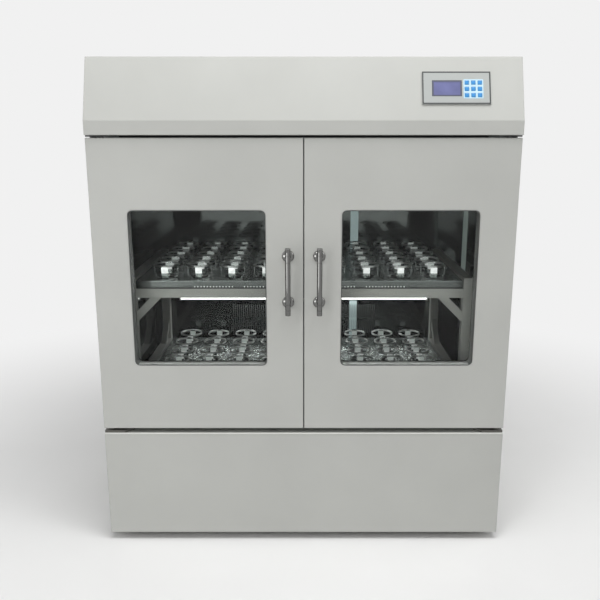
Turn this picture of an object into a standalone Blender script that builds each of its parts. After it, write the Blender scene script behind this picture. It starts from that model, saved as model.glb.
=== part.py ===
"""Floor-standing shaking incubator: two glazed doors, two tiers of flask clamps on one orbiting frame.

Metres, +Z up, +X to the user's right, doors facing -Y. The origin is under the middle of the machine's box.
Depths named here count backwards from the front plane of the doors.
"""

import math

import bmesh
import bpy
from mathutils import Matrix, Vector

# Overall body
WIDTH = 1.200
BODY_DEPTH = 0.800
HEIGHT = 1.441
FOOT_HEIGHT = 0.025
SHEET = 0.002
GAP = 0.0003
OVERRUN = 0.020

# Front, from the floor up
PLINTH_TOP = 0.356
HINGE_GAP = 0.016
HEADER_GAP = 0.007
LIP_HEIGHT = 0.039
LIP_PROUD = 0.006
SLOPE_HEIGHT = 0.171
SLOPE_SETBACK = 0.052

# Doors
DOOR_THICKNESS = 0.050
DOOR_SPLIT = 0.003
DOOR_SEAL_SPACE = 0.0083
WINDOW_STILE = 0.1075
WINDOW_OUTER_STILE = 0.1045
WINDOW_SILL = 0.198
WINDOW_HEAD = 0.1985
WINDOW_RADIUS = 0.014
WINDOW_CORNER_STEPS = 3
GLASS_LAP = 0.012
GLASS_THICKNESS = 0.004
SEAL_WIDTH = 0.014
SEAL_INSET = 0.004

# Door hinges
PIVOT_INSET = 0.018
PIVOT_DEPTH = 0.020
PIN_RADIUS = 0.005
PIN_REACH = 0.026
PIN_SIDES = 8
BUSH_RADIUS = 0.013
BUSH_LENGTH = 0.032
HINGE_PLATE_LENGTH = 0.084
HINGE_PLATE_CHAMFER = 0.022
HINGE_PLATE_FRONT = 0.004
LOWER_PLATE = 0.007
UPPER_PLATE = 0.004
COLLAR_RADIUS = 0.009

# Door handles
HANDLE_OFFSET = 0.0445
HANDLE_STANDOFF = 0.045
HANDLE_RADIUS = 0.008
HANDLE_LENGTH = 0.193
HANDLE_CENTRE_DROP = 0.395
HANDLE_POST_SPACING = 0.134
HANDLE_POST_RADIUS = 0.006
ROSETTE_RADIUS = 0.0175
ROSETTE_THICKNESS = 0.007
ROSETTE_CROWN_SHARE = 0.6
HANDLE_SIDES = 12

# Chamber
CHAMBER_FLOOR_RISE = 0.036
CHAMBER_ROOF_DROP = 0.051
SIDE_INSULATION = 0.0394
REAR_INSULATION = 0.0354
PLENUM = 0.045
FLOOR_INSULATION = 0.0434
SHAFT_WELL = 0.040

# Rear duct cover and lamp
GRILLE_SIDE = 0.272
GRILLE_RISE = 0.078
GRILLE_ROW_HEIGHT = 0.052
GRILLE_ROW_GAP = 0.009
GRILLE_ROWS = 2
GRILLE_SLOTS = 36
GRILLE_SLOT_WIDTH = 0.008
LAMP_RISE = 0.219
LAMP_SIDE = 0.076
LAMP_RADIUS = 0.008
LAMP_STANDOFF = 0.015
LAMP_HOLDER = 0.030
LAMP_SIDES = 10

# Machine bay
BASE_RAIL_WIDTH = 0.040
BASE_RAIL_HEIGHT = 0.0327
DECK_THICKNESS = 0.010
FOOT_INSET = 0.075
FOOT_RADIUS = 0.019
FOOT_PAD = 0.010
FOOT_STUD_RADIUS = 0.007
FOOT_THREAD = 0.012
FOOT_SIDES = 10

# Orbiting drive
ORBIT_RADIUS = 0.013
SHAFT_RADIUS = 0.0125
CRANK_WEB_RADIUS = 0.030
CRANK_WEB_THICKNESS = 0.008
CRANK_WEB_CLEARANCE = 0.002
CRANK_PIN_RADIUS = 0.008
IDLER_INSET = 0.147
IDLER_FORWARD = 0.140
DRIVE_CRANK_BACK = 0.100
CRANK_SIDES = 12
HOUSING_RADIUS = 0.034
HOUSING_LENGTH = 0.060
BEARING_RADIUS = 0.028
PULLEY_RADIUS = 0.100
MOTOR_PULLEY_RADIUS = 0.030
PULLEY_THICKNESS = 0.022
PULLEY_FLANGE = 0.004
PULLEY_GROOVE_DEPTH = 0.007
PULLEY_SIDES = 24
PULLEY_BELOW_HOUSING = 0.012
BELT_THICKNESS = 0.006
BELT_STEPS = 10
MOTOR_X = 0.250
MOTOR_RADIUS = 0.050
MOTOR_FLANGE = 0.062
MOTOR_FLANGE_THICKNESS = 0.008
MOTOR_SHAFT_GAP = 0.008
MOTOR_SIDES = 16

# Shaker frame
FRAME_SIDE_SPACE = 0.029
FRAME_FRONT = 0.112
FRAME_REAR_SPACE = 0.041
TUBE = 0.030
RAIL_HEIGHT = 0.028
LOWER_RAIL_RISE = 0.015
TIER_PITCH = 0.342
GUSSET_LEG = 0.080
GUSSET_WIDTH = 0.033
GUSSET_THICKNESS = 0.020
CARRIER_WIDTH = 0.080
CARRIER_THICKNESS = 0.006
BEARING_RAISE = 0.0025
WELD = 0.0005
GUSSET_SINK = 0.003

# Trays and clamps
TRAY_SIDE_GAP = 0.002
TRAY_LIP = 0.0247
CLAMP_COLUMNS = 9
CLAMP_ROWS = 5
CLAMP_SIDE = 0.0315
CLAMP_END = 0.0125
CLAMP_RADIUS = 0.0365
CLAMP_HEIGHT = 0.042
CLAMP_SHEET = 0.0015
PETAL_WIDTH = 0.020
PETAL_TOP_WIDTH = 0.018
PETAL_FLARE = 0.002

# Control station on the header slope
PANEL_EDGE = 0.091
PANEL_WIDTH = 0.187
PANEL_HEIGHT = 0.092
PANEL_THICKNESS = 0.004
DISPLAY_WIDTH = 0.079
DISPLAY_HEIGHT = 0.0425
DISPLAY_DROP = 0.0015
DISPLAY_OFFSET = -0.026
DISPLAY_RECESS = 0.0006
KEY_SIZE = 0.0117
KEY_PITCH = 0.0177
KEY_FIELD_OFFSET = 0.046
KEY_FIELD_DROP = 0.0032
KEYS_PER_SIDE = 3
KEY_PROUD = 0.0012
KEY_TRAVEL = 0.0006
KEY_TAPER = 0.0006
KEY_CLEARANCE = 0.0004

# Air and cold side
FAN_RADIUS = 0.080
FAN_HUB_RADIUS = 0.020
FAN_THICKNESS = 0.012
FAN_BLADES = 5
FAN_BLADE_WIDTH = 0.034
FAN_ROOT_SHARE = 0.35
FAN_BLADE_SINK = 0.006
FAN_BLADE_THICKNESS = 0.0015
FAN_BLADE_PITCH_DEGREES = 14
FAN_SIDES = 10
FAN_CEILING_DROP = 0.170
FAN_MOTOR_RADIUS = 0.032
FAN_MOTOR_LENGTH = 0.022
EVAPORATOR_SIDE = 0.256
EVAPORATOR_HEIGHT = 0.220
EVAPORATOR_FAN_GAP = 0.050
EVAPORATOR_THICKNESS = 0.032
EVAPORATOR_SLOTS = 30
COMPRESSOR_INSET = 0.220
COMPRESSOR_REAR_SPACE = 0.1177
COMPRESSOR_RADIUS = 0.080
COMPRESSOR_HEIGHT = 0.190
COMPRESSOR_FOOT = 0.012
COMPRESSOR_SHOULDER_SHARE = 0.25
CONDENSER_INSET = 0.270
CONDENSER_HALF_WIDTH = 0.140
CONDENSER_HEADROOM = 0.0357
CONDENSER_THICKNESS = 0.044
CONDENSER_SLOTS = 24
FIN_THICKNESS = 0.002
FIN_HEADER = 0.008
CONDENSER_REAR_SPACE = 0.0537
CONDENSER_FAN_SPACE = 0.010
FAN_BRACKET_WIDTH = 0.040
FAN_BRACKET_THICKNESS = 0.004
VENT_SLOTS = 9
VENT_SLOT_WIDTH = 0.160
VENT_SLOT_HEIGHT = 0.008
VENT_PITCH = 0.024
VENT_LOW = 0.090

# Mains inlet on the rear panel
INLET_INSET = 0.200
INLET_HEIGHT = 0.170
INLET_WIDTH = 0.060
INLET_TALL = 0.064
INLET_DEEP = 0.034
SOCKET_WIDTH = 0.024
SOCKET_TALL = 0.016
SOCKET_DEEP = 0.016
ROCKER_WIDTH = 0.020
ROCKER_TALL = 0.014
ROCKER_DEEP = 0.008
ROCKER_SWING_DEGREES = 8
INLET_STEP = 0.014
ROCKER_CLEARANCE = 0.001

# Heights
CREASE = HEIGHT - SLOPE_HEIGHT
HEADER_BOTTOM = CREASE - LIP_HEIGHT
DOOR_TOP = HEADER_BOTTOM - HEADER_GAP
DOOR_BOTTOM = PLINTH_TOP + HINGE_GAP
HANDLE_CENTRE_HEIGHT = DOOR_TOP - HANDLE_CENTRE_DROP
WINDOW_HEIGHT = DOOR_TOP - DOOR_BOTTOM - WINDOW_SILL - WINDOW_HEAD
GLASS_HEIGHT = WINDOW_HEIGHT + 2 * GLASS_LAP
CHAMBER_FLOOR = PLINTH_TOP + CHAMBER_FLOOR_RISE
CHAMBER_CEILING = HEADER_BOTTOM - CHAMBER_ROOF_DROP
DECK_TOP = CHAMBER_FLOOR - SHEET - GAP - FLOOR_INSULATION - GAP
DECK_BOTTOM = DECK_TOP - DECK_THICKNESS
BASE_PLATE_TOP = FOOT_HEIGHT + BASE_RAIL_HEIGHT + GAP + SHEET
GRILLE_LOW = CHAMBER_FLOOR + GRILLE_RISE
LAMP_HEIGHT = CHAMBER_FLOOR + LAMP_RISE
WEB_BOTTOM = CHAMBER_FLOOR + CRANK_WEB_CLEARANCE
WEB_TOP = WEB_BOTTOM + CRANK_WEB_THICKNESS
LOWER_RAIL_BOTTOM = CHAMBER_FLOOR + LOWER_RAIL_RISE
LOWER_RAIL_TOP = LOWER_RAIL_BOTTOM + RAIL_HEIGHT
PIN_TOP = LOWER_RAIL_TOP - WELD - CARRIER_THICKNESS - 2 * GAP
SIDE_RAIL_BOTTOM = LOWER_RAIL_TOP + SHEET
HOUSING_BOTTOM = DECK_BOTTOM - GAP - HOUSING_LENGTH
PULLEY_TOP = HOUSING_BOTTOM - PULLEY_BELOW_HOUSING
PULLEY_BOTTOM = PULLEY_TOP - PULLEY_THICKNESS
CIRCULATION_FAN_HEIGHT = CHAMBER_CEILING - FAN_CEILING_DROP
EVAPORATOR_HIGH = CIRCULATION_FAN_HEIGHT - FAN_RADIUS - EVAPORATOR_FAN_GAP
CONDENSER_HEIGHT = DECK_BOTTOM - CONDENSER_HEADROOM - BASE_PLATE_TOP - GAP

# Depths
HANDLE_REACH = HANDLE_STANDOFF + HANDLE_RADIUS * math.cos(math.pi / HANDLE_SIDES)
FRONT = (HANDLE_REACH - BODY_DEPTH) / 2
FACE = DOOR_THICKNESS + DOOR_SEAL_SPACE
INNER_REAR = BODY_DEPTH - SHEET - GAP
LINER_BACK = INNER_REAR - REAR_INSULATION - GAP - SHEET
DUCT_COVER_DEPTH = LINER_BACK - PLENUM - SHEET
FRAME_DEPTH = DUCT_COVER_DEPTH - FRAME_REAR_SPACE - FRAME_FRONT
ORBIT_DEPTH = FRAME_FRONT + FRAME_DEPTH / 2
CLAMP_PITCH_Y = (FRAME_DEPTH - 2 * CLAMP_END) / CLAMP_ROWS
CONDENSER_DEPTH = INNER_REAR - CONDENSER_REAR_SPACE - CONDENSER_THICKNESS
COMPRESSOR_DEPTH = INNER_REAR - COMPRESSOR_REAR_SPACE - COMPRESSOR_RADIUS
SLOPE_ANGLE = math.atan2(SLOPE_SETBACK + LIP_PROUD, SLOPE_HEIGHT)
SLOPE_LENGTH = math.hypot(SLOPE_SETBACK + LIP_PROUD, SLOPE_HEIGHT)

# Widths and places across
HALF = WIDTH / 2
INNER_HALF = HALF - SHEET - GAP
CHAMBER_HALF_WIDTH = INNER_HALF - SIDE_INSULATION - GAP - SHEET
FRAME_HALF_WIDTH = CHAMBER_HALF_WIDTH - FRAME_SIDE_SPACE
TRAY_HALF_WIDTH = FRAME_HALF_WIDTH - TUBE - TRAY_SIDE_GAP
CLAMP_PITCH_X = 2 * (TRAY_HALF_WIDTH - CLAMP_SIDE) / CLAMP_COLUMNS
IDLER_X = FRAME_HALF_WIDTH - IDLER_INSET
PLATFORM_X = -ORBIT_RADIUS
WINDOW_WIDTH = HALF - WINDOW_STILE - WINDOW_OUTER_STILE
GLASS_WIDTH = WINDOW_WIDTH + 2 * GLASS_LAP
PIVOT_X = HALF - PIVOT_INSET
PANEL_CENTRE_X = HALF - PANEL_EDGE - PANEL_WIDTH / 2
GRILLE_HALF_WIDTH = CHAMBER_HALF_WIDTH - GRILLE_SIDE
LAMP_LENGTH = 2 * (CHAMBER_HALF_WIDTH - LAMP_SIDE)
EVAPORATOR_HALF_WIDTH = CHAMBER_HALF_WIDTH - EVAPORATOR_SIDE
COMPRESSOR_X = COMPRESSOR_INSET - HALF
CONDENSER_X = HALF - CONDENSER_INSET
INLET_X = INLET_INSET - HALF


def depth(distance):
    """The Y of a point this far behind the doors' front plane."""
    return FRONT + distance


def running_bore(radius, sides):
    """Radius of a faceted bore that clears a faceted shaft of this radius at every turn."""
    return (radius + GAP) / math.cos(math.pi / sides)


def material(name, colour, roughness, metallic=0.0):
    made = bpy.data.materials.new(name)
    made.use_nodes = True
    shader = made.node_tree.nodes["Principled BSDF"]
    shader.inputs["Base Color"].default_value = (*colour, 1.0)
    shader.inputs["Roughness"].default_value = roughness
    shader.inputs["Metallic"].default_value = metallic
    made.diffuse_color = (*colour, 1.0)
    return made


def empty(name, place, parent=None, rotation=(0.0, 0.0, 0.0)):
    made = bpy.data.objects.new(name, None)
    bpy.context.scene.collection.objects.link(made)
    made.location = Vector(place) - (parent.location if parent else Vector())
    made.rotation_euler = rotation
    made.parent = parent
    return made


def publish(name, shape, surface, parent=None, smooth=False, local=False):
    """Make an object of a bmesh drawn in world places, or in its parent's own when local is set."""
    bmesh.ops.recalc_face_normals(shape, faces=shape.faces)
    if parent and not local:
        bmesh.ops.translate(shape, verts=shape.verts, vec=-world_place(parent))
    mesh = bpy.data.meshes.new(name)
    shape.to_mesh(mesh)
    shape.free()
    mesh.materials.append(surface)
    if smooth:
        mesh.shade_smooth()
        mesh.set_sharp_from_angle(angle=math.radians(40))
    made = bpy.data.objects.new(name, mesh)
    bpy.context.scene.collection.objects.link(made)
    made.parent = parent
    return made


def world_place(thing):
    """World place of an object whose parents are all unrotated."""
    place = thing.location.copy()
    while thing.parent:
        thing = thing.parent
        place += thing.location
    return place


def add_box(shape, low, high):
    points = []
    for z in (low[2], high[2]):
        for y in (low[1], high[1]):
            for x in (low[0], high[0]):
                points.append(shape.verts.new((x, y, z)))
    for order in ((0, 2, 3, 1), (4, 5, 7, 6), (0, 1, 5, 4), (2, 6, 7, 3), (0, 4, 6, 2), (1, 3, 7, 5)):
        shape.faces.new([points[index] for index in order])
    return points


def lift(point, axis, height):
    """A flat outline's point in space: across X it reads (y, z), across Y (x, z), across Z (x, y)."""
    if axis == "X":
        return Vector((height, point[0], point[1]))
    if axis == "Y":
        return Vector((point[0], height, point[1]))
    return Vector((point[0], point[1], height))


def add_prism(shape, outline, axis, start, end):
    """A solid with this outline as its section, from start to end along the axis."""
    near = [shape.verts.new(lift(point, axis, start)) for point in outline]
    far = [shape.verts.new(lift(point, axis, end)) for point in outline]
    shape.faces.new(near)
    shape.faces.new(far)
    for index in range(len(outline)):
        following = (index + 1) % len(outline)
        shape.faces.new((near[index], near[following], far[following], far[index]))


def fill(shape, loops):
    """Flat faces between an outer loop of vertices and the holes in it."""
    edges = []
    for loop in loops:
        for index, point in enumerate(loop):
            following = loop[(index + 1) % len(loop)]
            edge = shape.edges.get((point, following)) or shape.edges.new((point, following))
            edges.append(edge)
    bmesh.ops.triangle_fill(shape, use_beauty=True, edges=edges)


def join_loops(shape, first, second):
    for index in range(len(first)):
        following = (index + 1) % len(first)
        shape.faces.new((first[index], first[following], second[following], second[index]))


def loop_at(shape, outline, axis, height):
    return [shape.verts.new(lift(point, axis, height)) for point in outline]


def add_plate(shape, outline, holes, axis, start, end):
    """A flat plate with through holes."""
    near = [loop_at(shape, line, axis, start) for line in [outline] + holes]
    far = [loop_at(shape, line, axis, end) for line in [outline] + holes]
    fill(shape, near)
    fill(shape, far)
    for first, second in zip(near, far):
        join_loops(shape, first, second)


def add_pan(shape, outline, inner, holes, axis, face, wall, rim):
    """A folded pan: a sheet with holes at face, walls back to rim, all of the same thickness."""
    face_outer = loop_at(shape, outline, axis, face)
    rim_outer = loop_at(shape, outline, axis, rim)
    face_inner = loop_at(shape, inner, axis, face + wall)
    rim_inner = loop_at(shape, inner, axis, rim)
    holes_outer = [loop_at(shape, hole, axis, face) for hole in holes]
    holes_inner = [loop_at(shape, hole, axis, face + wall) for hole in holes]
    fill(shape, [face_outer] + holes_outer)
    fill(shape, [face_inner] + holes_inner)
    for first, second in zip(holes_outer, holes_inner):
        join_loops(shape, first, second)
    join_loops(shape, face_outer, rim_outer)
    join_loops(shape, face_inner, rim_inner)
    join_loops(shape, rim_outer, rim_inner)


def add_turned(shape, profile, centre, axis, sides, bore=False, phase=0.5):
    """A turned solid from (radius, height) points, closed by flat ends, or by its own loop round a bore."""
    rings = []
    for radius, height in profile:
        ring = []
        for step in range(sides):
            angle = math.tau * (step + phase) / sides
            across = radius * math.cos(angle)
            up = radius * math.sin(angle)
            offset = lift((across, up), axis, height)
            ring.append(shape.verts.new(Vector(centre) + offset))
        rings.append(ring)
    for first, second in zip(rings, rings[1:]):
        join_loops(shape, first, second)
    if bore:
        join_loops(shape, rings[-1], rings[0])
    else:
        shape.faces.new(rings[0])
        shape.faces.new(rings[-1])


def rectangle(low_a, low_b, high_a, high_b):
    return [(low_a, low_b), (high_a, low_b), (high_a, high_b), (low_a, high_b)]


def round_rectangle(low_a, low_b, high_a, high_b, radius, steps):
    points = []
    corners = ((high_a, high_b, 0), (low_a, high_b, 1), (low_a, low_b, 2), (high_a, low_b, 3))
    for a, b, quarter in corners:
        centre_a = a - math.copysign(radius, a - (low_a + high_a) / 2)
        centre_b = b - math.copysign(radius, b - (low_b + high_b) / 2)
        for step in range(steps + 1):
            angle = math.pi / 2 * (quarter + step / steps)
            points.append((centre_a + radius * math.cos(angle), centre_b + radius * math.sin(angle)))
    return points


def crank_places():
    """Centres of the three crank shafts in plan, the driven one first."""
    middle = depth(ORBIT_DEPTH)
    idler_y = middle - IDLER_FORWARD
    return [(0.0, middle + DRIVE_CRANK_BACK), (-IDLER_X, idler_y), (IDLER_X, idler_y)]


def combine(target, operand, operation):
    """Join or cut a named object with a helper body, which itself stays out of the model."""
    operand.hide_render = True
    operand.display_type = "WIRE"
    step = target.modifiers.new(operand.name, "BOOLEAN")
    step.operation = operation
    step.solver = "EXACT"
    step.object = operand


def clear_scene():
    for thing in list(bpy.data.objects):
        bpy.data.objects.remove(thing, do_unlink=True)


def make_wrapper(paint):
    """Both sides and the back, folded from one sheet, with the condenser's vents and the inlet's cut-out."""
    shape = bmesh.new()
    front = depth(FACE)
    back = depth(BODY_DEPTH)
    outline = [(-HALF, front), (-HALF + SHEET, front), (-HALF + SHEET, back - SHEET),
               (HALF - SHEET, back - SHEET), (HALF - SHEET, front), (HALF, front),
               (HALF, back), (-HALF, back)]
    add_prism(shape, outline, "Z", FOOT_HEIGHT, HEIGHT - SHEET - GAP)
    wrapper = publish("outer_wrapper", shape, paint)
    shape = bmesh.new()
    half_wide = INLET_WIDTH / 2 + GAP
    half_tall = INLET_TALL / 2 + GAP
    add_box(shape, (INLET_X - half_wide, back - SHEET - OVERRUN, INLET_HEIGHT - half_tall),
            (INLET_X + half_wide, back + OVERRUN, INLET_HEIGHT + half_tall))
    for row in range(VENT_SLOTS):
        low = VENT_LOW + row * VENT_PITCH
        add_box(shape, (CONDENSER_X - VENT_SLOT_WIDTH / 2, back - SHEET - OVERRUN, low),
                (CONDENSER_X + VENT_SLOT_WIDTH / 2, back + OVERRUN, low + VENT_SLOT_HEIGHT))
    combine(wrapper, publish("wrapper_cuts", shape, paint), "DIFFERENCE")


def make_covers(paint):
    shape = bmesh.new()
    add_box(shape, (-HALF, depth(FACE), HEIGHT - SHEET), (HALF, depth(BODY_DEPTH), HEIGHT))
    publish("top_cover", shape, paint)

    shape = bmesh.new()
    outline = rectangle(-HALF, FOOT_HEIGHT, HALF, PLINTH_TOP)
    inner = rectangle(-HALF + SHEET, FOOT_HEIGHT + SHEET, HALF - SHEET, PLINTH_TOP - SHEET)
    add_pan(shape, outline, inner, [], "Y", depth(0), SHEET, depth(FACE - GAP))
    publish("plinth_cover", shape, paint)

    back = depth(FACE - GAP)
    shape = bmesh.new()
    profile = [(back, HEADER_BOTTOM), (depth(-LIP_PROUD), HEADER_BOTTOM), (depth(-LIP_PROUD), CREASE),
               (depth(SLOPE_SETBACK), HEIGHT), (back, HEIGHT)]
    add_prism(shape, profile, "X", -HALF, HALF)
    header = publish("header_cover", shape, paint)
    shape = bmesh.new()
    slope_sheet = SHEET / math.cos(SLOPE_ANGLE)
    inside = depth(-LIP_PROUD + SHEET)
    lean = math.tan(SLOPE_ANGLE)
    inner_crease = CREASE - (slope_sheet - SHEET) / lean
    top_inside = depth(SLOPE_SETBACK) + slope_sheet - SHEET * lean
    profile = [(back + OVERRUN, HEADER_BOTTOM + SHEET), (inside, HEADER_BOTTOM + SHEET),
               (inside, inner_crease), (top_inside, HEIGHT - SHEET), (back + OVERRUN, HEIGHT - SHEET)]
    add_prism(shape, profile, "X", -HALF + SHEET, HALF - SHEET)
    combine(header, publish("header_hollow", shape, paint), "DIFFERENCE")


def make_base(steel):
    """Welded base: a floor plate on edge rails, with four levelling feet screwed up into the rails."""
    front = depth(FACE)
    back = depth(INNER_REAR)
    shape = bmesh.new()
    outline = rectangle(-INNER_HALF, front, INNER_HALF, back)
    inner = rectangle(-INNER_HALF + BASE_RAIL_WIDTH, front + BASE_RAIL_WIDTH,
                      INNER_HALF - BASE_RAIL_WIDTH, back - BASE_RAIL_WIDTH)
    add_pan(shape, outline, inner, [], "Z", BASE_PLATE_TOP, -SHEET, FOOT_HEIGHT)
    base = publish("base_frame", shape, steel)
    shape = bmesh.new()
    for side in (-1, 1):
        for start in (FACE + FOOT_INSET, INNER_REAR - FOOT_INSET):
            place = (side * (INNER_HALF - BASE_RAIL_WIDTH / 2), depth(start), 0)
            profile = [(FOOT_RADIUS, 0), (FOOT_RADIUS, FOOT_PAD / 2), (FOOT_STUD_RADIUS, FOOT_PAD),
                       (FOOT_STUD_RADIUS, FOOT_HEIGHT + FOOT_THREAD)]
            add_turned(shape, profile, place, "Z", FOOT_SIDES)
    combine(base, publish("levelling_feet", shape, steel), "UNION")


def make_deck(steel):
    """The deck over the machine bay, with the bearing housings of the cranks welded under it."""
    shape = bmesh.new()
    outline = rectangle(-INNER_HALF, depth(FACE), INNER_HALF, depth(INNER_REAR))
    add_prism(shape, outline, "Z", DECK_BOTTOM, DECK_TOP)
    deck = publish("machine_deck", shape, steel)
    housings = bmesh.new()
    bores = bmesh.new()
    bore = running_bore(SHAFT_RADIUS, CRANK_SIDES)
    for place in crank_places():
        centre = (place[0], place[1], 0)
        profile = [(HOUSING_RADIUS, HOUSING_BOTTOM), (HOUSING_RADIUS, DECK_BOTTOM + DECK_THICKNESS / 2)]
        add_turned(housings, profile, centre, "Z", CRANK_SIDES)
        profile = [(bore, HOUSING_BOTTOM - OVERRUN), (bore, DECK_TOP + OVERRUN)]
        add_turned(bores, profile, centre, "Z", CRANK_SIDES)
    combine(deck, publish("deck_housings", housings, steel), "UNION")
    combine(deck, publish("deck_bores", bores, steel), "DIFFERENCE")


def make_chamber(polished, foam):
    """The polished liner with its front flange, and the foam round it."""
    front = depth(FACE + SHEET + GAP)
    back = depth(LINER_BACK)
    half = CHAMBER_HALF_WIDTH
    shape = bmesh.new()
    flange = rectangle(-INNER_HALF, DECK_TOP + GAP, INNER_HALF, HEADER_BOTTOM - GAP)
    inside = rectangle(-half, CHAMBER_FLOOR, half, CHAMBER_CEILING)
    outside = rectangle(-half - SHEET, CHAMBER_FLOOR - SHEET, half + SHEET, CHAMBER_CEILING + SHEET)
    loops = [loop_at(shape, inside, "Y", back), loop_at(shape, inside, "Y", depth(FACE)),
             loop_at(shape, flange, "Y", depth(FACE)), loop_at(shape, flange, "Y", depth(FACE + SHEET)),
             loop_at(shape, outside, "Y", depth(FACE + SHEET)), loop_at(shape, outside, "Y", back + SHEET)]
    for first, second in zip(loops, loops[1:]):
        join_loops(shape, first, second)
    shape.faces.new(loops[0])
    shape.faces.new(loops[-1])
    liner = publish("chamber_liner", shape, polished)
    bores = bmesh.new()
    bore = running_bore(SHAFT_RADIUS, CRANK_SIDES)
    for place in crank_places():
        profile = [(bore, CHAMBER_FLOOR - SHEET - OVERRUN), (bore, CHAMBER_FLOOR + OVERRUN)]
        add_turned(bores, profile, (place[0], place[1], 0), "Z", CRANK_SIDES)
    combine(liner, publish("liner_bores", bores, polished), "DIFFERENCE")

    shape = bmesh.new()
    outline = rectangle(-INNER_HALF, DECK_TOP + GAP, INNER_HALF, HEADER_BOTTOM - GAP)
    inner = rectangle(-half - SHEET - GAP, CHAMBER_FLOOR - SHEET - GAP,
                      half + SHEET + GAP, CHAMBER_CEILING + SHEET + GAP)
    rear_foam = depth(INNER_REAR) - (back + SHEET + GAP)
    add_pan(shape, outline, inner, [], "Y", depth(INNER_REAR), -rear_foam, front)
    insulation = publish("insulation", shape, foam)
    wells = bmesh.new()
    reach = SHAFT_WELL / 2
    for x, y in crank_places():
        add_box(wells, (x - reach, y - reach, DECK_TOP - OVERRUN), (x + reach, y + reach, CHAMBER_FLOOR))
    combine(insulation, publish("insulation_wells", wells, foam), "DIFFERENCE")


def make_duct_cover(polished):
    shape = bmesh.new()
    reach = CHAMBER_HALF_WIDTH - GAP
    outline = rectangle(-reach, CHAMBER_FLOOR + GAP, reach, CHAMBER_CEILING - GAP)
    pitch = 2 * GRILLE_HALF_WIDTH / GRILLE_SLOTS
    slots = []
    for row in range(GRILLE_ROWS):
        low = GRILLE_LOW + row * (GRILLE_ROW_HEIGHT + GRILLE_ROW_GAP)
        for column in range(GRILLE_SLOTS):
            middle = pitch * (column - (GRILLE_SLOTS - 1) / 2)
            slots.append(rectangle(middle - GRILLE_SLOT_WIDTH / 2, low,
                                   middle + GRILLE_SLOT_WIDTH / 2, low + GRILLE_ROW_HEIGHT))
    add_plate(shape, outline, slots, "Y", depth(DUCT_COVER_DEPTH), depth(DUCT_COVER_DEPTH + SHEET))
    publish("duct_cover", shape, polished)


def make_lamp(lamp_glass, polished):
    """The lamp tube between the two lugs of its holder."""
    y = depth(DUCT_COVER_DEPTH - LAMP_STANDOFF)
    span = LAMP_LENGTH / 2
    shape = bmesh.new()
    add_turned(shape, [(LAMP_RADIUS, -span), (LAMP_RADIUS, span)], (0, y, LAMP_HEIGHT), "X", LAMP_SIDES)
    publish("lamp_tube", shape, lamp_glass, smooth=True)
    shape = bmesh.new()
    near = y - LAMP_RADIUS - SHEET
    far = depth(DUCT_COVER_DEPTH) - GAP
    inner = span + GAP
    outer = span + LAMP_HOLDER
    outline = [(-outer, near), (-inner, near), (-inner, far - SHEET), (inner, far - SHEET),
               (inner, near), (outer, near), (outer, far), (-outer, far)]
    add_prism(shape, outline, "Z", LAMP_HEIGHT - LAMP_RADIUS - SHEET, LAMP_HEIGHT + LAMP_RADIUS + SHEET)
    publish("lamp_holder", shape, polished)


def window_outline(side):
    low, high = sorted((side * WINDOW_STILE, side * (WINDOW_STILE + WINDOW_WIDTH)))
    sill = DOOR_BOTTOM + WINDOW_SILL
    return round_rectangle(low, sill, high, sill + WINDOW_HEIGHT, WINDOW_RADIUS, WINDOW_CORNER_STEPS)


def glass_outline(side, margin=0.0):
    near = WINDOW_STILE - GLASS_LAP - margin
    low, high = sorted((side * near, side * (near + GLASS_WIDTH + 2 * margin)))
    sill = DOOR_BOTTOM + WINDOW_SILL - GLASS_LAP - margin
    return rectangle(low, sill, high, sill + GLASS_HEIGHT + 2 * margin)


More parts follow.
